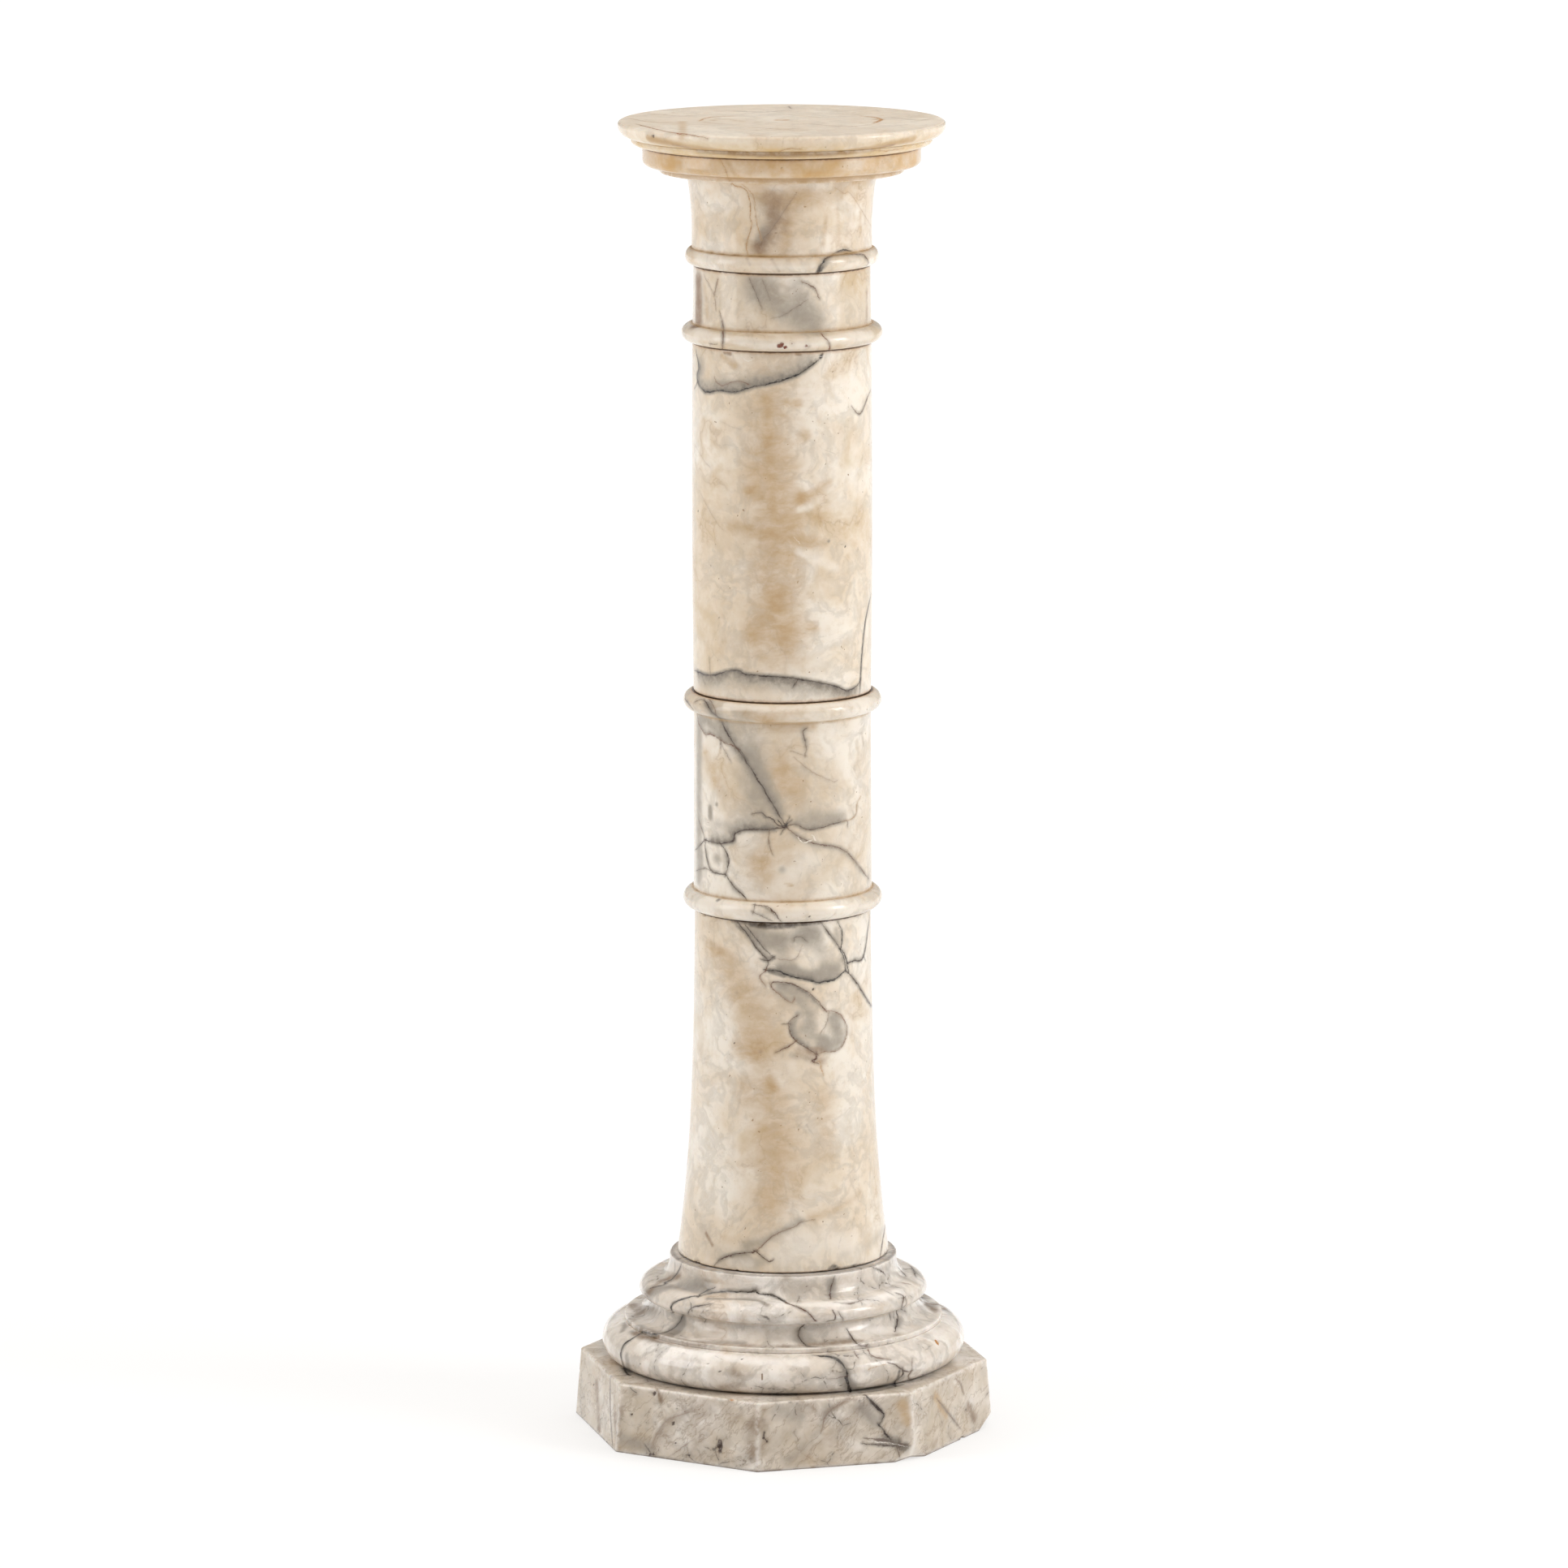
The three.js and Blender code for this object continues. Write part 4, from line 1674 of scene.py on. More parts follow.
UPPER_VEINS = (
    Vein(((1012, 438), (1005, 446), (982, 462), (952, 472), (930, 476), (910, 482), (900, 483), (887, 481),
    (871, 483), (865, 479), (860, 471), (859, 462), (861, 452), (858, 434)), 0.8, 3, 13, 0.0, 1.0,
    (1.0, 0.6)), Vein(((860, 471), (856, 478)), 0.6, 2, 2, 0.1, 0.9), Vein(((881, 466), (884, 472),
    (891, 475), (902, 471), (912, 470), (922, 473)), 0.4, 0, 2, 0.5, 0.7), Vein(((857, 550), (867, 567),
    (874, 575)), 0.4, 2, 0, 0.7, 0.2), Vein(((890, 520), (902, 526), (912, 529)), 0.5, 0, 3, 0.5, 0.2),
    Vein(((862, 605), (875, 630), (884, 645), (890, 652)), 0.4, 2, 2, 0.6, 0.2), Vein(((1072, 482),
    (1062, 507), (1056, 509), (1050, 502)), 0.5, 2, 3, 0.3, 0.75), Vein(((856, 826), (875, 832), (902, 826),
    (912, 827), (922, 831), (980, 836), (1027, 845), (1042, 851), (1050, 849), (1057, 844), (1060, 838)),
    0.7, 3, 14, 0.05, 1.0, (0.7, 0.9)), Vein(((982, 839), (978, 845)), 0.7, 0, 0, 0.1, 0.9),
    Vein(((1073, 733), (1066, 767), (1062, 805), (1059, 856)), 0.6, 3, 2, 0.0, 1.0, (0.4, 1.0)),
    Vein(((874, 812), (875, 830)), 0.3, 0, 0, 0.2, 0.5), chalk(1.0, 0.8, (915, 441), (921, 445), (927, 443)),
    chalk(0.9, 0.9, (1008, 440), (1015, 439)), chalk(0.9, 0.9, (1022, 444), (1023, 448)), chalk(0.9, 0.7,
    (980, 664), (984, 668)), *specks(1.4, 0.45, (1057, 677)),
)
UPPER_CLOUDS = (
    *clouds(Tone.AMBER, (7, 0.3, (945, 492), (947, 525), (946, 565), (951, 600), (956, 660)), (52, 0.42,
    (955, 450), (950, 540), (955, 650), (955, 800)), (30, 0.35, (945, 560), (962, 640), (958, 720),
    (962, 790)), (9, 0.6, (985, 612)), (9, 0.4, (992, 537)), (8, 0.35, (990, 615), (1022, 595)), (8, 0.35,
    (970, 637), (1010, 640)), (8, 0.4, (965, 663), (1020, 670)), (8, 0.4, (922, 604), (936, 612)), (9, 0.4,
    (900, 648), (945, 656)), (14, 0.5, (930, 780)), (16, 0.5, (970, 787)), (11, 0.4, (1002, 775)), (14, 0.4,
    (960, 742)), (7, 0.35, (1045, 687)), (5, 0.25, (970, 495), (985, 497)), (6, 0.5, (890, 440),
    (905, 450))),
    *clouds(Tone.GREY, (5, 0.7, (886, 472), (930, 474)), (14, 0.3, (905, 500), (935, 510)), (14, 0.3,
    (898, 640), (915, 660), (910, 690)), (2.6, 1.0, (1021, 667))),
    *clouds(Tone.PALE, (8, 0.5, (985, 680), (1030, 700)), (5, 0.5, (985, 628), (1000, 624))),
    *clouds(Tone.INK, (2.2, 0.8, (1013, 436), (1011, 441))),
    *clouds(Tone.BROWN, (3.5, 0.9, (893, 434), (900, 436)), (2.5, 0.9, (981, 436), (986, 437))),
)
UPPER_PITS = (
    Pit((1029, 493), 0.8, 0.4), Pit((860, 630), 0.8, 0.4), Pit((1042, 681), 0.8, 0.4), Pit((1066, 694), 0.8,
    0.4),
)

MIDDLE_VEINS = (
    Vein(((868, 862), (877, 877), (888, 887), (900, 910), (930, 954), (968, 1018)), 0.7, 11, 8, 0.1, 0.9,
    (0.8, 1.0)), Vein(((844, 861), (853, 873)), 0.8, 2, 2, 0.1, 0.9), Vein(((858, 864), (864, 862),
    (870, 865)), 0.7, 2, 2, 0.2, 0.8), Vein(((874, 862), (880, 872), (882, 880)), 0.6, 2, 2, 0.4, 0.7),
    Vein(((859, 880), (861, 891), (866, 901), (870, 905), (877, 905), (894, 916), (902, 918), (909, 923)),
    0.6, 8, 0, 0.5, 0.8, (0.4, 1.0)), Vein(((888, 911), (888, 920)), 0.6, 2, 2, 0.2, 0.9), Vein(((889, 917),
    (900, 938)), 0.5, 2, 4, 0.2, 0.5), Vein(((908, 921), (915, 928), (919, 937)), 0.5, 2, 0, 0.1, 0.8),
    Vein(((928, 1003), (938, 1001), (944, 1006), (952, 1009), (958, 1016), (966, 1020)), 0.7, 0, 4, 0.1, 0.9,
    (0.3, 1.0)), Vein(((968, 1019), (948, 1022), (922, 1022), (910, 1025), (905, 1028), (904, 1036),
    (896, 1038), (887, 1039), (869, 1035)), 0.8, 4, 12, 0.1, 0.95, (1.0, 1.0)), Vein(((869, 1035),
    (857, 1047)), 0.7, 2, 3, 0.1, 0.9, (1.0, 0.4)), Vein(((869, 1035), (861, 1010)), 0.5, 0, 4, 0.2, 0.8,
    (1.0, 0.3)), Vein(((968, 1019), (980, 1016), (1000, 1022), (1040, 1012), (1044, 1017)), 0.5, 12, 3, 0.2,
    0.8, (1.0, 0.4)), Vein(((1040, 1012), (1049, 1009), (1055, 1002), (1056, 990), (1060, 982)), 0.5, 2, 2,
    0.9, 0.6), Vein(((968, 1019), (988, 1033), (1008, 1040), (1028, 1043), (1040, 1048), (1049, 1056),
    (1070, 1082)), 0.45, 3, 5, 0.35, 0.7, (1.0, 0.6)), Vein(((960, 1012), (966, 1018), (974, 1012)), 0.6, 2,
    2, 0.0, 1.0, (0.5, 0.5)), Vein(((963, 1026), (968, 1019), (972, 1008)), 0.7, 2, 2, 0.0, 1.0, (0.4, 0.4)),
    Vein(((870, 1036), (869, 1046), (876, 1072), (894, 1078)), 0.5, 4, 2, 0.1, 0.8, (0.8, 1.0)),
    Vein(((887, 1039), (894, 1048), (897, 1056), (898, 1064), (894, 1077)), 0.7, 0, 6, 0.1, 0.9, (0.8, 1.0)),
    Vein(((894, 1078), (906, 1094), (915, 1102), (920, 1110)), 0.7, 3, 5, 0.1, 0.9, (1.0, 1.0)),
    Vein(((858, 1073), (868, 1070), (876, 1073)), 0.5, 2, 2, 0.2, 0.7), Vein(((992, 898), (989, 902),
    (993, 918), (992, 930)), 0.6, 4, 4, 0.2, 0.8), Vein(((992, 931), (975, 926)), 0.4, 2, 2, 0.3, 0.4),
    Vein(((980, 934), (996, 948), (1012, 957), (1026, 963), (1031, 962)), 0.4, 2, 6, 0.7, 0.35),
    Vein(((948, 1023), (947, 1036), (949, 1046), (952, 1052)), 0.6, 3, 3, 0.4, 0.6, (0.8, 0.3)),
    Vein(((930, 1115), (944, 1117), (954, 1124), (962, 1135)), 0.6, 0, 4, 0.2, 0.9), Vein(((928, 1124),
    (949, 1134)), 0.6, 4, 0, 0.2, 0.9), Vein(((930, 1115), (928, 1124)), 0.5, 2, 0, 0.2, 0.8),
    chalk(1.0, 1.0, (985, 1033), (990, 1039), (998, 1036)), chalk(1.2, 1.0, (1002, 1031), (1004, 1034)),
    Vein(((870, 907),), 2.1, 0, 0, 0.45, 0.9, (0.7, 0.7)),
)
MIDDLE_CLOUDS = (
    # Painted highlight: the first three pale clouds run along the two rings.
    *clouds(Tone.PALE, (7, 0.6, (895, 869), (966, 873), (1078, 862)), (7, 0.6, (860, 1113), (930, 1122)),
    (7, 0.6, (975, 1124), (1075, 1114)), (14, 0.5, (1030, 900), (1040, 950)), (16, 0.5, (1000, 1060),
    (960, 1090))),
    *clouds(Tone.GREY, (15, 0.8, (861, 890), (861, 1080)), (26, 0.45, (912, 880), (930, 930), (925, 1000)),
    (10, 0.75, (864, 884), (882, 897), (896, 910)), (15, 0.45, (925, 930), (955, 990)), (10, 0.3, (905, 950),
    (940, 1000)), (12, 0.5, (885, 1015), (905, 1022)), (6, 1.0, (875, 996), (875, 1006)), (4, 0.8,
    (883, 991)), (11, 0.7, (883, 1058)), (7, 0.5, (864, 1050), (864, 1064)), (14, 0.6, (1000, 1006),
    (1036, 1008)), (9, 0.6, (990, 900)), (7, 0.7, (964, 1072)), (9, 0.7, (1070, 1082)), (7, 0.5,
    (945, 1126)), (5, 0.9, (870, 866), (876, 872))),
    *clouds(Tone.AMBER, (46, 0.3, (955, 880), (958, 1100)), (14, 0.4, (870, 930), (885, 970)), (16, 0.35,
    (960, 950), (985, 975)), (14, 0.3, (930, 1060), (940, 1080)), (8, 0.45, (920, 880), (960, 893),
    (1000, 893)), (1.6, 1.0, (968, 1089), (976, 1091))),
    *clouds(Tone.INK, (4, 0.7, (903, 1031)), (3.0, 0.7, (968, 1019)), (4, 0.7, (885, 1109))),
    *clouds(Tone.BROWN, (5, 0.5, (1064, 916), (1062, 904))),
)

LOWER_VEINS = (
    Vein(((909, 1136), (926, 1158), (931, 1167), (944, 1181), (946, 1188), (944, 1195)), 0.55, 6, 2, 0.1,
    0.9, (0.8, 0.9)), Vein(((919, 1140), (941, 1168), (953, 1179)), 0.4, 8, 3, 0.05, 0.75),
    Vein(((939, 1182), (946, 1184), (953, 1179)), 0.7, 2, 2, 0.1, 0.9), Vein(((953, 1180), (964, 1182),
    (980, 1181), (988, 1166)), 0.3, 0, 3, 0.5, 0.35), Vein(((978, 1158), (980, 1154), (988, 1155),
    (993, 1159)), 0.45, 4, 4, 0.1, 0.6), Vein(((944, 1195), (960, 1197), (978, 1204), (1000, 1208),
    (1008, 1211), (1026, 1207), (1034, 1203), (1043, 1194)), 1.3, 10, 2, 0.0, 1.0, (0.6, 0.9)),
    Vein(((944, 1195), (936, 1203), (942, 1214)), 0.5, 2, 0, 0.6, 0.8), Vein(((1010, 1135), (1036, 1170)),
    0.5, 4, 3, 0.1, 0.8, (0.4, 0.9)), Vein(((1033, 1137), (1037, 1146), (1038, 1154), (1036, 1170)), 0.7, 0,
    3, 0.0, 0.95, (0.6, 1.0)), Vein(((1035, 1170), (1039, 1178), (1042, 1195)), 0.7, 0, 9, 0.0, 1.0,
    (1.0, 1.0)), Vein(((1037, 1170), (1041, 1178), (1045, 1195)), 0.7, 2, 0, 0.0, 1.0, (1.0, 1.0)),
    Vein(((1042, 1187), (1052, 1184), (1064, 1178), (1072, 1126)), 0.7, 4, 2, 0.05, 0.95, (0.9, 0.6)),
    Vein(((1064, 1178), (1066, 1183)), 0.5, 0, 0, 0.1, 0.9), Vein(((1044, 1197), (1056, 1212), (1071, 1236),
    (1077, 1240)), 0.7, 3, 3, 0.1, 0.95, (0.9, 0.6)), Vein(((950, 1214), (952, 1210), (970, 1211),
    (980, 1214), (1000, 1226), (1017, 1245)), 0.7, 0, 8, 0.25, 0.9, (0.6, 1.0)), Vein(((1017, 1245),
    (1032, 1248), (1038, 1253), (1042, 1260), (1044, 1270), (1042, 1280), (1038, 1289), (1032, 1294),
    (1026, 1296), (1016, 1296), (1006, 1299)), 0.4, 0, 6, 0.6, 0.65, (1.0, 1.0)), Vein(((1006, 1299),
    (984, 1285), (976, 1277), (973, 1270), (972, 1262), (976, 1255), (981, 1252)), 0.5, 0, 9, 0.3, 0.85,
    (1.0, 0.4)), Vein(((950, 1214), (954, 1220), (968, 1232), (976, 1236), (978, 1231)), 0.5, 4, 0, 0.6,
    0.7), Vein(((1021, 1250), (1018, 1262), (1012, 1272)), 0.35, 2, 0, 0.3, 0.5), Vein(((980, 1283),
    (972, 1289), (957, 1296)), 0.6, 2, 2, 0.4, 0.9, (1.0, 0.4)), Vein(((966, 1262), (972, 1262)), 0.6, 0, 0,
    0.2, 0.9), Vein(((1006, 1299), (1006, 1305), (1001, 1307), (1006, 1310)), 0.8, 2, 2, 0.3, 0.95,
    (1.0, 0.6)), Vein(((1006, 1309), (1010, 1308), (1014, 1323)), 0.6, 2, 2, 0.95, 0.6), Vein(((880, 1562),
    (882, 1557), (896, 1548), (931, 1542)), 0.8, 3, 3, 0.2, 0.9, (0.8, 1.0)), Vein(((931, 1542), (954, 1522),
    (980, 1511), (986, 1506), (1002, 1503)), 0.5, 5, 2, 0.5, 0.5, (1.0, 0.3)), Vein(((931, 1542),
    (947, 1554), (951, 1553)), 0.8, 2, 3, 0.2, 0.9, (1.0, 0.4)), Vein(((1091, 1508), (1084, 1551)), 0.6, 2,
    2, 0.2, 0.85, (0.4, 0.8)), chalk(0.5, 0.9, (947, 1191), (950, 1189), (954, 1190)), chalk(0.6, 0.9,
    (1036, 1170), (1040, 1178), (1043.5, 1195)), *specks(1.3, 0.45, (908, 1224)), *specks(1.3, 0.45,
    (937, 1296)),
)
LOWER_CLOUDS = (
    *clouds(Tone.GREY, (26, 0.4, (862, 1500), (875, 1540), (920, 1552)), (10, 0.5, (920, 1535), (950, 1525),
    (985, 1505)), (9, 0.45, (1040, 1545), (1070, 1535), (1088, 1515)), (7, 0.5, (905, 1552), (940, 1556)),
    (15, 0.7, (925, 1148), (960, 1158), (1000, 1150)), (13, 0.5, (955, 1165), (975, 1190)), (9, 0.7,
    (960, 1193), (1000, 1201), (1032, 1192)), (7, 0.6, (1030, 1146), (1033, 1160)), (16, 0.6, (1000, 1150),
    (1015, 1180), (1020, 1200)), (13, 0.65, (962, 1218), (985, 1232), (1000, 1258)), (13, 0.6, (990, 1268),
    (1012, 1282)), (13, 0.85, (1028, 1256), (1032, 1280), (1018, 1288)), (5, 0.7, (982, 1250), (975, 1270),
    (985, 1284)), (7, 0.5, (975, 1300), (998, 1304))),
    *clouds(Tone.PALE, (24, 0.5, (960, 1545), (1010, 1530), (1050, 1535)), (9, 0.35, (1008, 1180),
    (1018, 1176)), (8, 0.5, (900, 1555), (925, 1556))),
    *clouds(Tone.AMBER, (8, 0.35, (1000, 1500), (1030, 1490), (1060, 1470)), (52, 0.3, (945, 1230),
    (950, 1350), (950, 1500)), (9, 0.4, (872, 1165), (900, 1180)), (11, 0.75, (948, 1338)), (26, 0.35,
    (880, 1178), (912, 1225), (935, 1290)), (14, 0.35, (908, 1292), (935, 1300)), (26, 0.3, (925, 1345),
    (960, 1400), (950, 1470)), (20, 0.35, (1015, 1350), (1020, 1420))),
    *clouds(Tone.BROWN, (12, 0.5, (985, 1296), (1012, 1306)), (6, 0.5, (1000, 1293), (1015, 1293)), (9, 0.35,
    (866, 1156), (886, 1170), (914, 1186), (932, 1200)), (4, 0.7, (870, 1520), (878, 1534))),
    *clouds(Tone.INK, (4.0, 0.8, (903, 1134), (965, 1138), (1000, 1137), (1012, 1135)), (4.0, 0.75,
    (925, 1139), (945, 1141.5), (978, 1141)), (4, 0.6, (908, 1140), (916, 1146)), (4.5, 0.55, (942, 1183),
    (952, 1180)), (4.5, 0.7, (949, 1196), (966, 1201)), (1.9, 0.62, (838, 1543), (848, 1551), (870, 1559),
    (900, 1565), (965, 1570), (1000, 1568), (1070, 1556), (1085, 1549), (1094, 1541)), (3, 0.7, (1022, 1563),
    (1028, 1560), (1033, 1564))),
)
LOWER_PITS = (
    Pit((1002, 1219), 1.6, 1.2),
)

BASE_VEINS = (
    Vein(((840, 1556), (836, 1566), (828, 1576), (820, 1580), (818, 1583), (802, 1587)), 0.7, 3, 2, 0.1,
    0.9), Vein(((879, 1587), (864, 1594), (861, 1597)), 0.8, 2, 2, 0.0, 1.0, (0.4, 1.0)), Vein(((861, 1597),
    (888, 1592), (926, 1592), (930, 1590), (936, 1594), (944, 1595)), 0.7, 4, 1, 0.0, 0.95, (1.0, 1.0)),
    Vein(((944, 1595), (952, 1596), (969, 1605)), 1.3, 2, 2, 0.0, 1.0, (0.7, 1.0)), Vein(((969, 1605),
    (992, 1615), (1004, 1627)), 0.7, 2, 2, 0.3, 0.95, (1.0, 0.8)), Vein(((861, 1597), (850, 1598),
    (832, 1604), (828, 1608), (827, 1612), (829, 1617)), 0.9, 2, 2, 0.0, 1.0, (1.0, 1.0)), Vein(((842, 1620),
    (838, 1628), (832, 1635), (824, 1640), (814, 1643), (804, 1644), (794, 1642), (788, 1644)), 0.8, 2, 2,
    0.0, 1.0, (1.0, 1.0)), Vein(((788, 1644), (772, 1654), (767, 1660), (765, 1668), (766, 1676),
    (771, 1690), (775, 1694)), 1.0, 4, 2, 0.0, 1.0, (1.0, 1.0)), Vein(((775, 1694), (753, 1696)), 0.9, 2, 2,
    0.1, 0.9, (1.0, 1.0)), Vein(((752, 1697), (752, 1739), (755, 1783)), 1.0, 3, 2, 0.2, 0.85, (1.0, 0.5)),
    Vein(((848, 1618), (850, 1614), (856, 1610), (874, 1607)), 0.7, 2, 3, 0.05, 0.9), Vein(((1028, 1574),
    (1023, 1590), (1023, 1600)), 0.8, 3, 3, 0.2, 0.85, (0.5, 0.8)), Vein(((1073, 1561), (1086, 1566),
    (1090, 1570)), 0.8, 2, 2, 0.1, 0.9), Vein(((1107, 1562), (1116, 1572)), 0.9, 3, 3, 0.1, 0.8),
    Vein(((1122, 1560), (1126, 1566), (1128, 1573)), 0.8, 3, 3, 0.1, 0.8), Vein(((1106, 1594), (1113, 1598),
    (1111, 1611)), 0.8, 2, 2, 0.2, 0.95, (0.5, 1.0)), Vein(((1105, 1617), (1106, 1626), (1103, 1640)), 0.8,
    3, 3, 0.1, 0.95, (1.0, 0.6)), Vein(((1114, 1581), (1120, 1582)), 0.8, 0, 0, 0.7, 0.8),
    Vein(((1030, 1605), (1048, 1606), (1062, 1602)), 0.6, 3, 3, 0.3, 0.6), Vein(((1027, 1616), (1029, 1621),
    (1028, 1626), (1020, 1628)), 0.8, 2, 2, 0.15, 0.9), Vein(((1034, 1618), (1039, 1627)), 0.7, 2, 2, 0.2,
    0.8), Vein(((990, 1633), (984, 1640), (985, 1648), (991, 1656), (996, 1659), (1012, 1660)), 0.8, 3, 3,
    0.1, 0.9), Vein(((1044, 1639), (1056, 1656), (1068, 1659)), 0.8, 2, 3, 0.1, 0.95, (0.4, 0.9)),
    Vein(((1050, 1662), (1057, 1672)), 0.7, 0, 2, 0.3, 0.8), Vein(((1068, 1659), (1073, 1669), (1082, 1673),
    (1096, 1675)), 0.6, 0, 2, 0.4, 0.75, (0.9, 0.3)), Vein(((1004, 1670), (1030, 1674), (1043, 1690),
    (1043, 1698), (1047, 1713)), 1.9, 5, 5, 0.0, 1.0, (0.3, 1.0)), Vein(((1043, 1695), (1032, 1698),
    (1020, 1699)), 0.5, 2, 2, 0.3, 0.5, (0.8, 0.3)), Vein(((1096, 1679), (1102, 1681), (1112, 1688),
    (1118, 1690), (1123, 1689)), 0.7, 2, 2, 0.2, 0.9), Vein(((1112, 1688), (1112, 1694), (1103, 1702),
    (1103, 1708)), 0.9, 3, 3, 0.05, 0.95, (0.8, 1.0)), Vein(((1124, 1676), (1123, 1689), (1119, 1696),
    (1123, 1701)), 0.6, 2, 2, 0.4, 0.7), Vein(((1072, 1687), (1090, 1681)), 0.6, 2, 2, 0.9, 0.5),
    Vein(((1066, 1719), (1087, 1740), (1087, 1749), (1083, 1756), (1089, 1763)), 1.0, 2, 5, 0.05, 0.9),
    Vein(((1067, 1772), (1092, 1775), (1119, 1781)), 1.6, 3, 3, 0.2, 0.6), Vein(((1105, 1783), (1110, 1799)),
    0.8, 2, 2, 0.2, 0.7), Vein(((1040, 1727), (1019, 1742), (1012, 1765)), 0.45, 3, 3, 0.5, 0.5),
    Vein(((1155, 1724), (1183, 1760)), 0.8, 3, 3, 0.4, 0.7), Vein(((1178, 1699), (1184, 1706), (1187, 1716)),
    0.7, 2, 2, 0.5, 0.7), Vein(((805, 1777), (812, 1763), (821, 1751), (842, 1742), (861, 1736)), 0.4, 3, 4,
    0.6, 0.4), Vein(((825, 1795), (855, 1773)), 0.4, 2, 3, 0.6, 0.35), Vein(((914, 1765), (932, 1740)), 0.4,
    2, 3, 0.6, 0.3), *specks(3.2, 1.0, (1154, 1653), (1155, 1655), (902, 1725)), *specks(2.4, 0.6,
    (845, 1739)), *specks(1.5, 0.1, (778, 1743), (797, 1753), (829, 1753), (833, 1779), (807, 1753),
    (1059, 1726), (1060, 1735), (1061, 1745), (1190, 1737), (1140, 1787), (1213, 1757)), *specks(2.0, 0.1,
    (797, 1791), (801, 1792), (806, 1792), (845, 1795), (850, 1793), (854, 1794), (812, 1787)),
    *specks(1.1, 0.1, (796, 1703), (835, 1736), (763, 1749), (797, 1761), (887, 1723), (890, 1729),
    (759, 1742), (759, 1752), (760, 1765), (760, 1778), (872, 1768), (940, 1750), (913, 1735), (980, 1765)),
    Vein(((941, 1768), (940, 1771), (943, 1774)), 1.6, 0, 0, 0.1, 1.0, (0.8, 0.8)), Vein(((887, 1780),
    (887, 1784)), 3.0, 0, 0, 0.1, 1.0, (0.9, 0.9)), chalk(0.4, 0.7, (1070, 1776), (1095, 1778),
    (1118, 1783)), Vein(((1064, 1779), (1108, 1782)), 0.9, 2, 2, 0.1, 0.9, (0.6, 0.6)), Vein(((1066, 1719),
    (1087, 1740)), 1.4, 0, 0, 0.05, 1.0, (0.6, 0.6)), Vein(((1083, 1756), (1096, 1772)), 1.3, 0, 0, 0.05,
    1.0, (0.6, 0.6)),
)
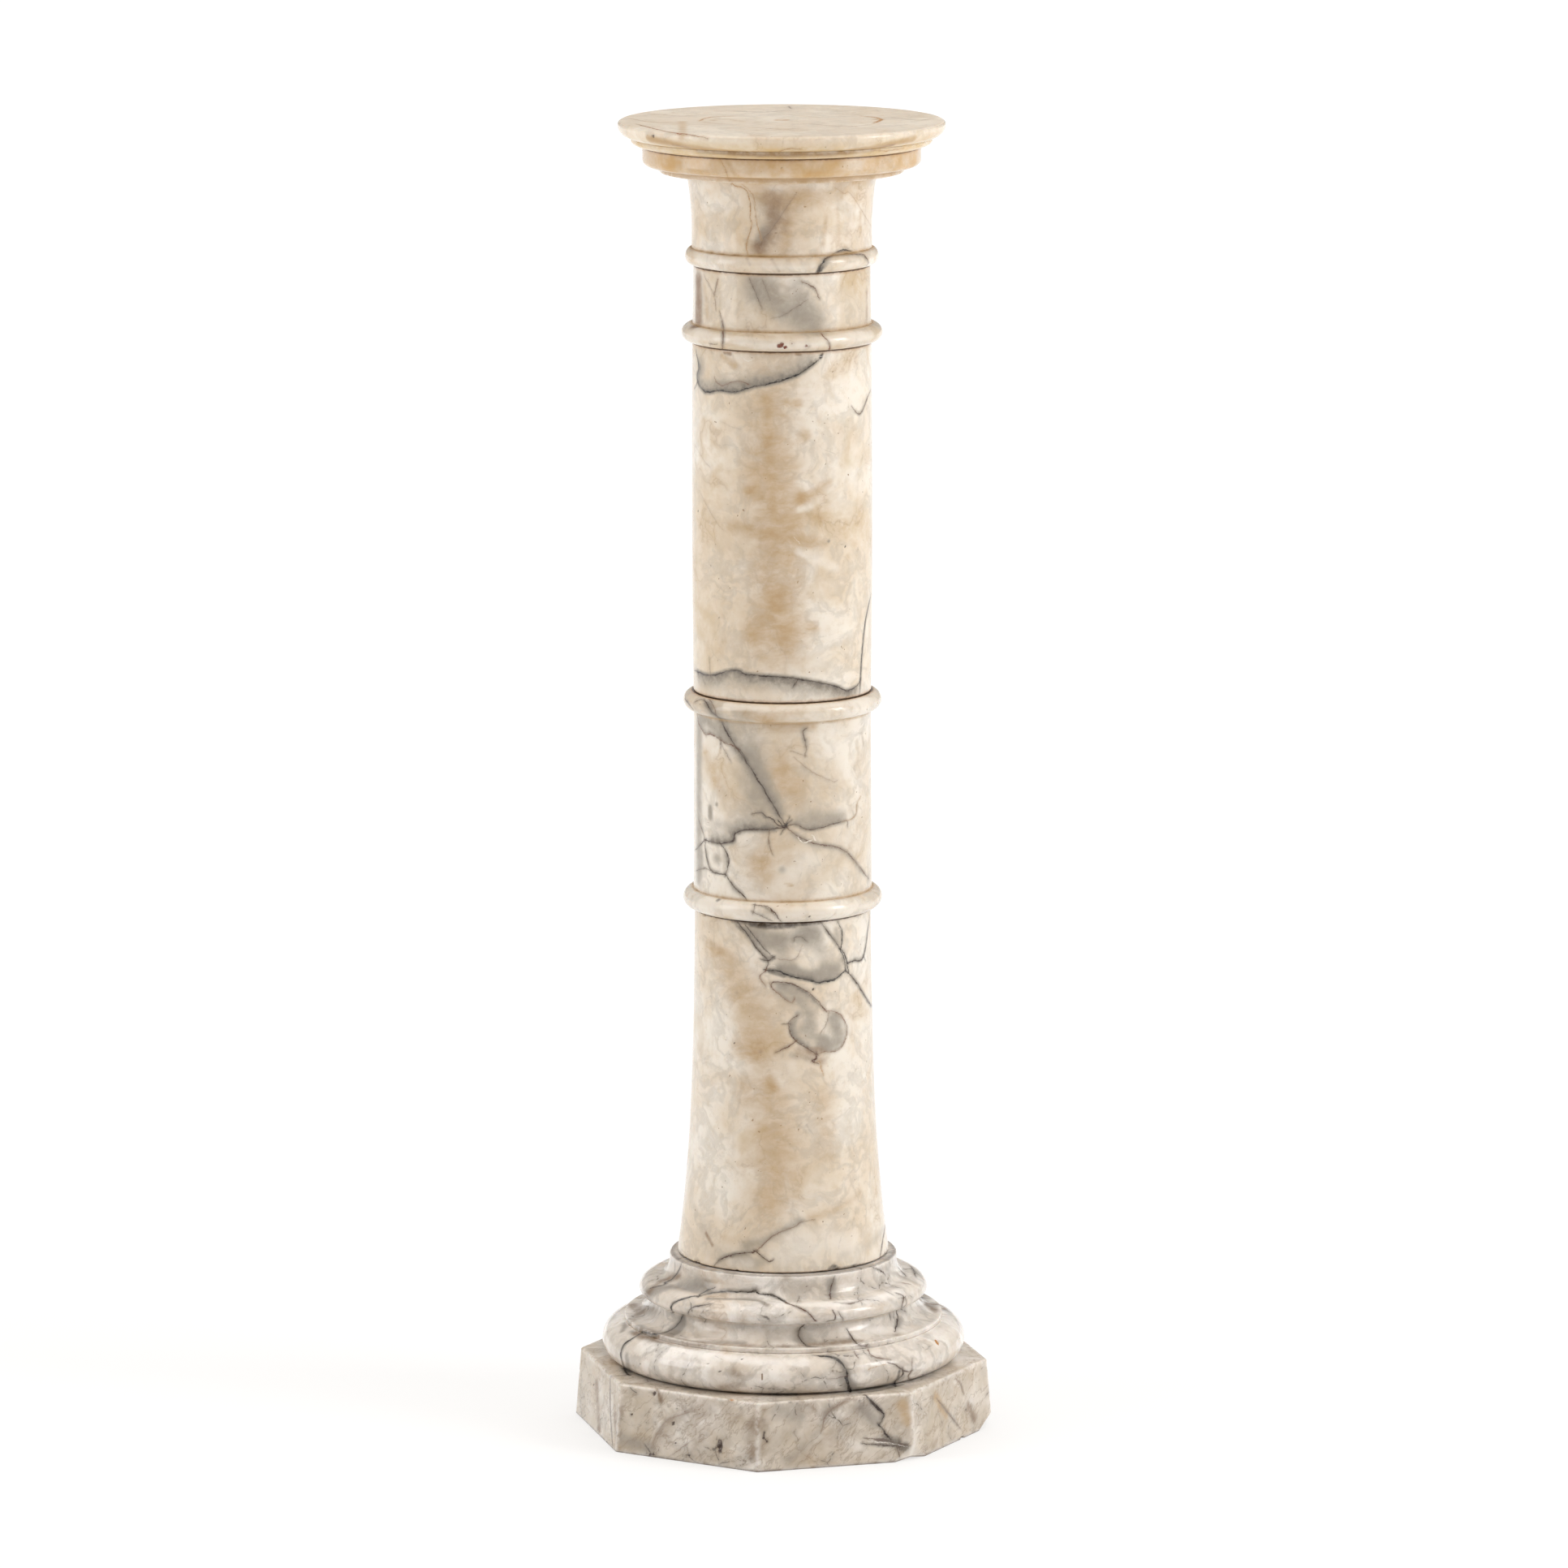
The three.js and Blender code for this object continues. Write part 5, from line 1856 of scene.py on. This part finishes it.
BASE_CLOUDS = (
    # Painted highlight: the pale clouds along (1070, 1640) to (1130, 1640) and (960, 1608) to (1110, 1590) on the right
    # parts of the tori.
    *clouds(Tone.PALE, (9, 0.6, (850, 1668), (930, 1676), (990, 1678)), (9, 0.6, (1070, 1640), (1130, 1640)),
    (7, 0.6, (960, 1608), (1060, 1604), (1110, 1590))),
    # The grey cloud along (797, 1594) to (868, 1588) is painted shade in the hollow above the upper torus; the grey
    # clouds along (785, 1640) to (838, 1632) and (800, 1646) to (915, 1655) are stain and painted shade under the upper
    # torus.
    *clouds(Tone.GREY, (14, 0.75, (797, 1594), (825, 1586), (868, 1588)), (12, 0.95, (785, 1640),
    (815, 1646), (838, 1632)), (9, 0.6, (800, 1646), (850, 1653), (915, 1655)), (6, 0.8, (767, 1640),
    (775, 1625)), (8, 0.8, (772, 1672), (775, 1690)), (6, 0.9, (842, 1622), (836, 1640), (815, 1650)),
    (5, 0.8, (872, 1600), (930, 1602), (945, 1608)), (8, 0.7, (1026, 1578), (1024, 1596)), (8, 0.5,
    (1085, 1560), (1108, 1572), (1128, 1580)), (10, 0.6, (985, 1650), (1010, 1656), (1050, 1652)), (7, 0.6,
    (1110, 1625), (1104, 1645)), (14, 0.5, (950, 1648), (990, 1648)), (8, 0.5, (1095, 1600), (1115, 1615)),
    (18, 0.5, (958, 1735), (985, 1745)), (10, 0.5, (968, 1800), (1000, 1775), (1014, 1750), (1018, 1735)),
    (13, 0.7, (1062, 1735), (1078, 1750)), (14, 0.6, (765, 1772), (800, 1784)), (10, 0.4, (860, 1575),
    (880, 1584)), (8, 0.35, (1020, 1580), (1026, 1592)), (6, 0.35, (974, 1615)), (12, 0.4, (1030, 1640),
    (990, 1645)), (10, 0.6, (1040, 1700), (1046, 1708)), (9, 0.6, (1113, 1697)), (3.5, 0.9, (1060, 1716),
    (1085, 1713), (1112, 1706)), (9, 0.7, (1040, 1700), (1060, 1712), (1100, 1708))),
    # The brown cloud along (795, 1598) to (838, 1572) is painted shade in the hollow; the one along (790, 1650) to
    # (860, 1656) is stain and painted shade under the upper torus.
    *clouds(Tone.BROWN, (9, 0.6, (795, 1598), (812, 1580), (838, 1572)), (12, 0.5, (772, 1632), (790, 1618),
    (808, 1612)), (11, 0.5, (790, 1650), (860, 1656)), (8, 0.4, (805, 1790), (812, 1770), (822, 1752)),
    (7, 0.35, (822, 1750), (840, 1738), (865, 1730)), (8, 0.3, (845, 1795), (868, 1768)), (14, 0.4,
    (942, 1734), (925, 1770), (930, 1790)), (9, 0.3, (880, 1762), (905, 1745), (930, 1725)), (12, 0.35,
    (930, 1795), (982, 1755)), (6, 0.5, (1018, 1740), (1050, 1722)), (6, 0.4, (982, 1724), (1000, 1734),
    (1012, 1745)), (8, 0.4, (1040, 1772), (1060, 1765), (1092, 1768)), (13, 0.75, (735, 1708), (738, 1762)),
    (7, 0.6, (757, 1720), (758, 1782)), (12, 0.45, (1190, 1740), (1215, 1758)), (6, 0.45, (1182, 1702),
    # Painted shade: the brown clouds at (780, 1608) and (1142, 1608) darken the two ends of the scotia.
    (1200, 1748)), (12, 0.7, (780, 1608), (790, 1616)), (12, 0.7, (1142, 1608), (1154, 1616)), (9, 0.5,
    (905, 1690), (915, 1704), (892, 1710)), (16, 0.25, (800, 1770), (860, 1740), (940, 1760)), (6, 0.4,
    (955, 1577), (965, 1588)), (4, 0.8, (810, 1711), (814, 1726)), (1.2, 1.0, (939, 1693), (939, 1700)),
    # Stain and painted shade: the brown clouds along (785, 1643) to (1060, 1652) and (783, 1642) to (800, 1650) lie on
    # the lower torus under the upper torus.
    (9, 0.6, (785, 1643), (860, 1655), (963, 1659), (1060, 1652)), (8, 0.8, (783, 1642), (800, 1650)),
    (9, 0.6, (762, 1735), (762, 1770))),
    *clouds(Tone.INK, (11, 0.5, (1092, 1774), (1114, 1784)), (2.5, 0.6, (966, 1603)), (3.0, 0.7,
    (993, 1657)), (3.5, 0.75, (1043, 1692), (1047, 1712)), (3.0, 0.6, (1108, 1690), (1106, 1700)), (2.4, 0.7,
    (950, 1595), (968, 1604)), (1.4, 0.9, (1083, 1658)), (1.2, 0.9, (1094, 1656), (1098, 1656))),
    *clouds(Tone.AMBER, (11, 0.55, (1112, 1732), (1118, 1750)), (9, 0.55, (1152, 1720), (1166, 1742))),
)
BASE_PITS = (
    Pit((887, 1782), 3.0, 1.8), Pit((1186, 1772), 3.0, 1.8), Pit((778, 1743), 1.5, 0.9), Pit((829, 1753),
    1.5, 0.9), Pit((850, 1793), 1.5, 0.9), Pit((835, 1736), 1.5, 0.9), Pit((833, 1779), 1.5, 0.9),
    Pit((797, 1703), 1.3, 0.8), Pit((885, 1570), 1.0, 0.6), Pit((913, 1616), 1.0, 0.6), Pit((887, 1690), 1.0,
    0.6), Pit((873, 1680), 0.9, 0.5), Pit((1226, 1746), 4.0, 2.5), Pit((806, 1717), 3.0, 1.6),
)


def blocks() -> list[Block]:
    """Gives the seven blocks with the marks that the photograph shows on each.

    Returns:
        The blocks, from the top down.
    """
    slab = Marble(cream=srgb(226, 212, 193), pale=srgb(236, 226, 210), tan=srgb(208, 186, 154), haze=60.0,
                  gilding=(1015.6, 1003.0), dusk=srgb(198, 186, 170), crease_soiling_and_shade=1.0,
                  seam=0.1, top_wear=0.4)
    warm = Marble(tan=srgb(204, 176, 134), gilt=srgb(198, 160, 104), haze=60.0, gilding=(970.0, 983.0), crease_soiling_and_shade=1.0, seam=0.65)
    cream = Marble(seam=0.7)
    drum = Marble(cream=srgb(216, 201, 180), pale=srgb(234, 226, 214), seam=0.8)
    foot = Marble(seam=0.9, seam_glow=0.1, edge_wear_and_highlight=0.0)
    white = Marble(cream=srgb(220, 211, 200), pale=srgb(242, 237, 231), tan=srgb(190, 176, 158),
                   grey=srgb(148, 141, 132), brown=srgb(136, 114, 92), haze=50.0, wisps=0.4, net=0.8,
                   net_size=34.0, mottle=0.3, crease_soiling_and_shade=0.35, seam=0.5, seam_glow=0.0, bold=0.45, edge_wear_and_highlight=0.6, gloom=0.85)
    return [
        TopSlab("top_slab", "marble_warm", 1, slab, 440, 1.6, veins=SLAB_VEINS, clouds=SLAB_CLOUDS,
                pits=SLAB_PITS),
        Capital("capital", "marble_warm", 2, warm, 440, 1.5, veins=CAPITAL_VEINS, clouds=CAPITAL_CLOUDS),
        NeckingDrum("necking_drum", "marble_cream", 3, drum, 360, 1.4, veins=NECKING_VEINS, clouds=NECKING_CLOUDS),
        UpperShaft("upper_shaft", "marble_cream", 4, cream, 330, 1.6, veins=UPPER_VEINS, clouds=UPPER_CLOUDS,
                   pits=UPPER_PITS),
        MiddleDrum("middle_drum", "marble_cream", 5, drum, 330, 1.4, veins=MIDDLE_VEINS, clouds=MIDDLE_CLOUDS),
        LowerShaft("lower_shaft", "marble_cream", 6, foot, 330, 1.6, nick_depth=1.2, veins=LOWER_VEINS,
                   clouds=LOWER_CLOUDS, pits=LOWER_PITS),
        Base("base", "marble_pale", 7, white, 600, 1.6, crowding=0.6, softness=0.012, unevenness=0.35,
             nick_depth=0.7, pit_density=900.0, veins=BASE_VEINS, clouds=BASE_CLOUDS, pits=BASE_PITS),
    ]


@dataclass(frozen=True)
class Softbox:
    """A soft rectangular lamp: where it stands around the column, and how large and strong it is."""

    name: str
    bearing: float
    distance: float
    height: float
    width: float
    tall: float
    power: float
    colour: Colour = (1.0, 1.0, 1.0)

    def build(self, target: Vector) -> None:
        """Makes the lamp, turned to the target."""
        data = bpy.data.lights.new(self.name, "AREA")
        data.shape = "RECTANGLE"
        data.size, data.size_y = self.width, self.tall
        data.energy = self.power
        data.color = self.colour
        lamp = bpy.data.objects.new(self.name, data)
        turn = math.radians(self.bearing)
        place = Vector((self.distance * math.sin(turn), -self.distance * math.cos(turn), self.height))
        aim = (target - place).to_track_quat("-Z", "Y")
        lamp.matrix_world = Matrix.Translation(place) @ aim.to_matrix().to_4x4()
        bpy.context.scene.collection.objects.link(lamp)


@dataclass(frozen=True)
class Studio:
    """The plain pale floor and the soft light, which is bright at the sides and dim from the camera's side."""

    floor_size: float = 80.0
    floor_tone: float = 0.4
    floor_glow: float = 0.7
    floor_shade_dip: float = 0.2
    sky: float = 0.36
    front: float = 0.02
    overhead: float = 1.1
    front_tint: Colour = (1.0, 0.84, 0.66)
    lamps: tuple[Softbox, ...] = (
        Softbox("softbox_right", 51.0, 2.6, 1.5, 1.5, 2.1, 20.5),
        Softbox("core_right", 56.0, 2.5, 1.7, 0.7, 1.1, 17.0),
        Softbox("softbox_left", -88.0, 2.6, 1.5, 1.2, 2.0, 23.0),
    )

    def build(self, camera: PhotoCamera) -> None:
        """Makes the floor, the sky and the lamps."""
        self.floor()
        self.surround(camera)
        for lamp in self.lamps:
            lamp.build(Vector((0, 0, 0.55)))
        bpy.context.scene.view_settings.view_transform = "Standard"

    def floor(self) -> None:
        """Makes the floor, which glows, with its glow dimmer near the column as a painted shade around the foot."""
        half = self.floor_size / 2
        mesh = bpy.data.meshes.new("floor")
        mesh.from_pydata([(-half, -half, 0), (half, -half, 0), (half, half, 0), (-half, half, 0)], [], [(0, 1, 2, 3)])
        material = bpy.data.materials.new("pale_floor")
        graph = Graph.clear(material)
        tone = (self.floor_tone,) * 3
        way = graph.add("ShaderNodeTexCoord", out="Object")
        far = graph.add("ShaderNodeVectorMath", {"operation": "LENGTH"}, {0: way}, "Value")
        # Painted shade: the floor's glow is dimmer near the column and full from about 2.6 m out.
        shaded_glow = (1 - self.floor_shade_dip,) * 3
        glow = graph.mix(shaded_glow, (1.0, 1.0, 1.0), far.step(0.6, 2.6))
        shader_inputs = {"Base Color": tone, "Roughness": 0.9, "Specular IOR Level": 0.0, "Emission Color": glow,
                         "Emission Strength": self.floor_glow}
        graph.show(graph.add("ShaderNodeBsdfPrincipled", None, shader_inputs))
        mesh.materials.append(material)
        floor = bpy.data.objects.new("floor", mesh)
        bpy.context.scene.collection.objects.link(floor)

    def surround(self, camera: PhotoCamera) -> None:
        """Makes the sky, whose light falls off towards the camera's side."""
        world = bpy.data.worlds.new("studio")
        graph = Graph.clear(world)
        _, _, forward = camera.axes()
        level = Vector((forward.x, forward.y, 0)).normalized()
        way = graph.add("ShaderNodeTexCoord", out="Generated")
        facing = graph.add("ShaderNodeVectorMath", {"operation": "DOT_PRODUCT"}, {0: way, 1: tuple(level)}, "Value")
        _, _, rise = graph.split(way)
        share = facing.step(-0.75, 0.1)
        light = share * (self.sky - self.front) + self.front + rise.step(0.35, 0.85) * self.overhead
        tint = graph.mix(self.front_tint, (1.0, 1.0, 1.0), share)
        back = graph.add("ShaderNodeBackground", None, {"Color": tint, "Strength": light})
        graph.show(back, "ShaderNodeOutputWorld")
        bpy.context.scene.world = world


def main() -> None:
    """Builds the camera, the studio and the seven blocks."""
    logging.basicConfig(level=logging.INFO, format="%(name)s: %(message)s")
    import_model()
    camera = PhotoCamera()
    camera.build()
    Studio().build(camera)
    workshop = Workshop(camera, turning_recipe(), wearing_recipe(), bpy.context.scene)
    for block in blocks():
        block.build(workshop)


if __name__ == "__main__":
    main()
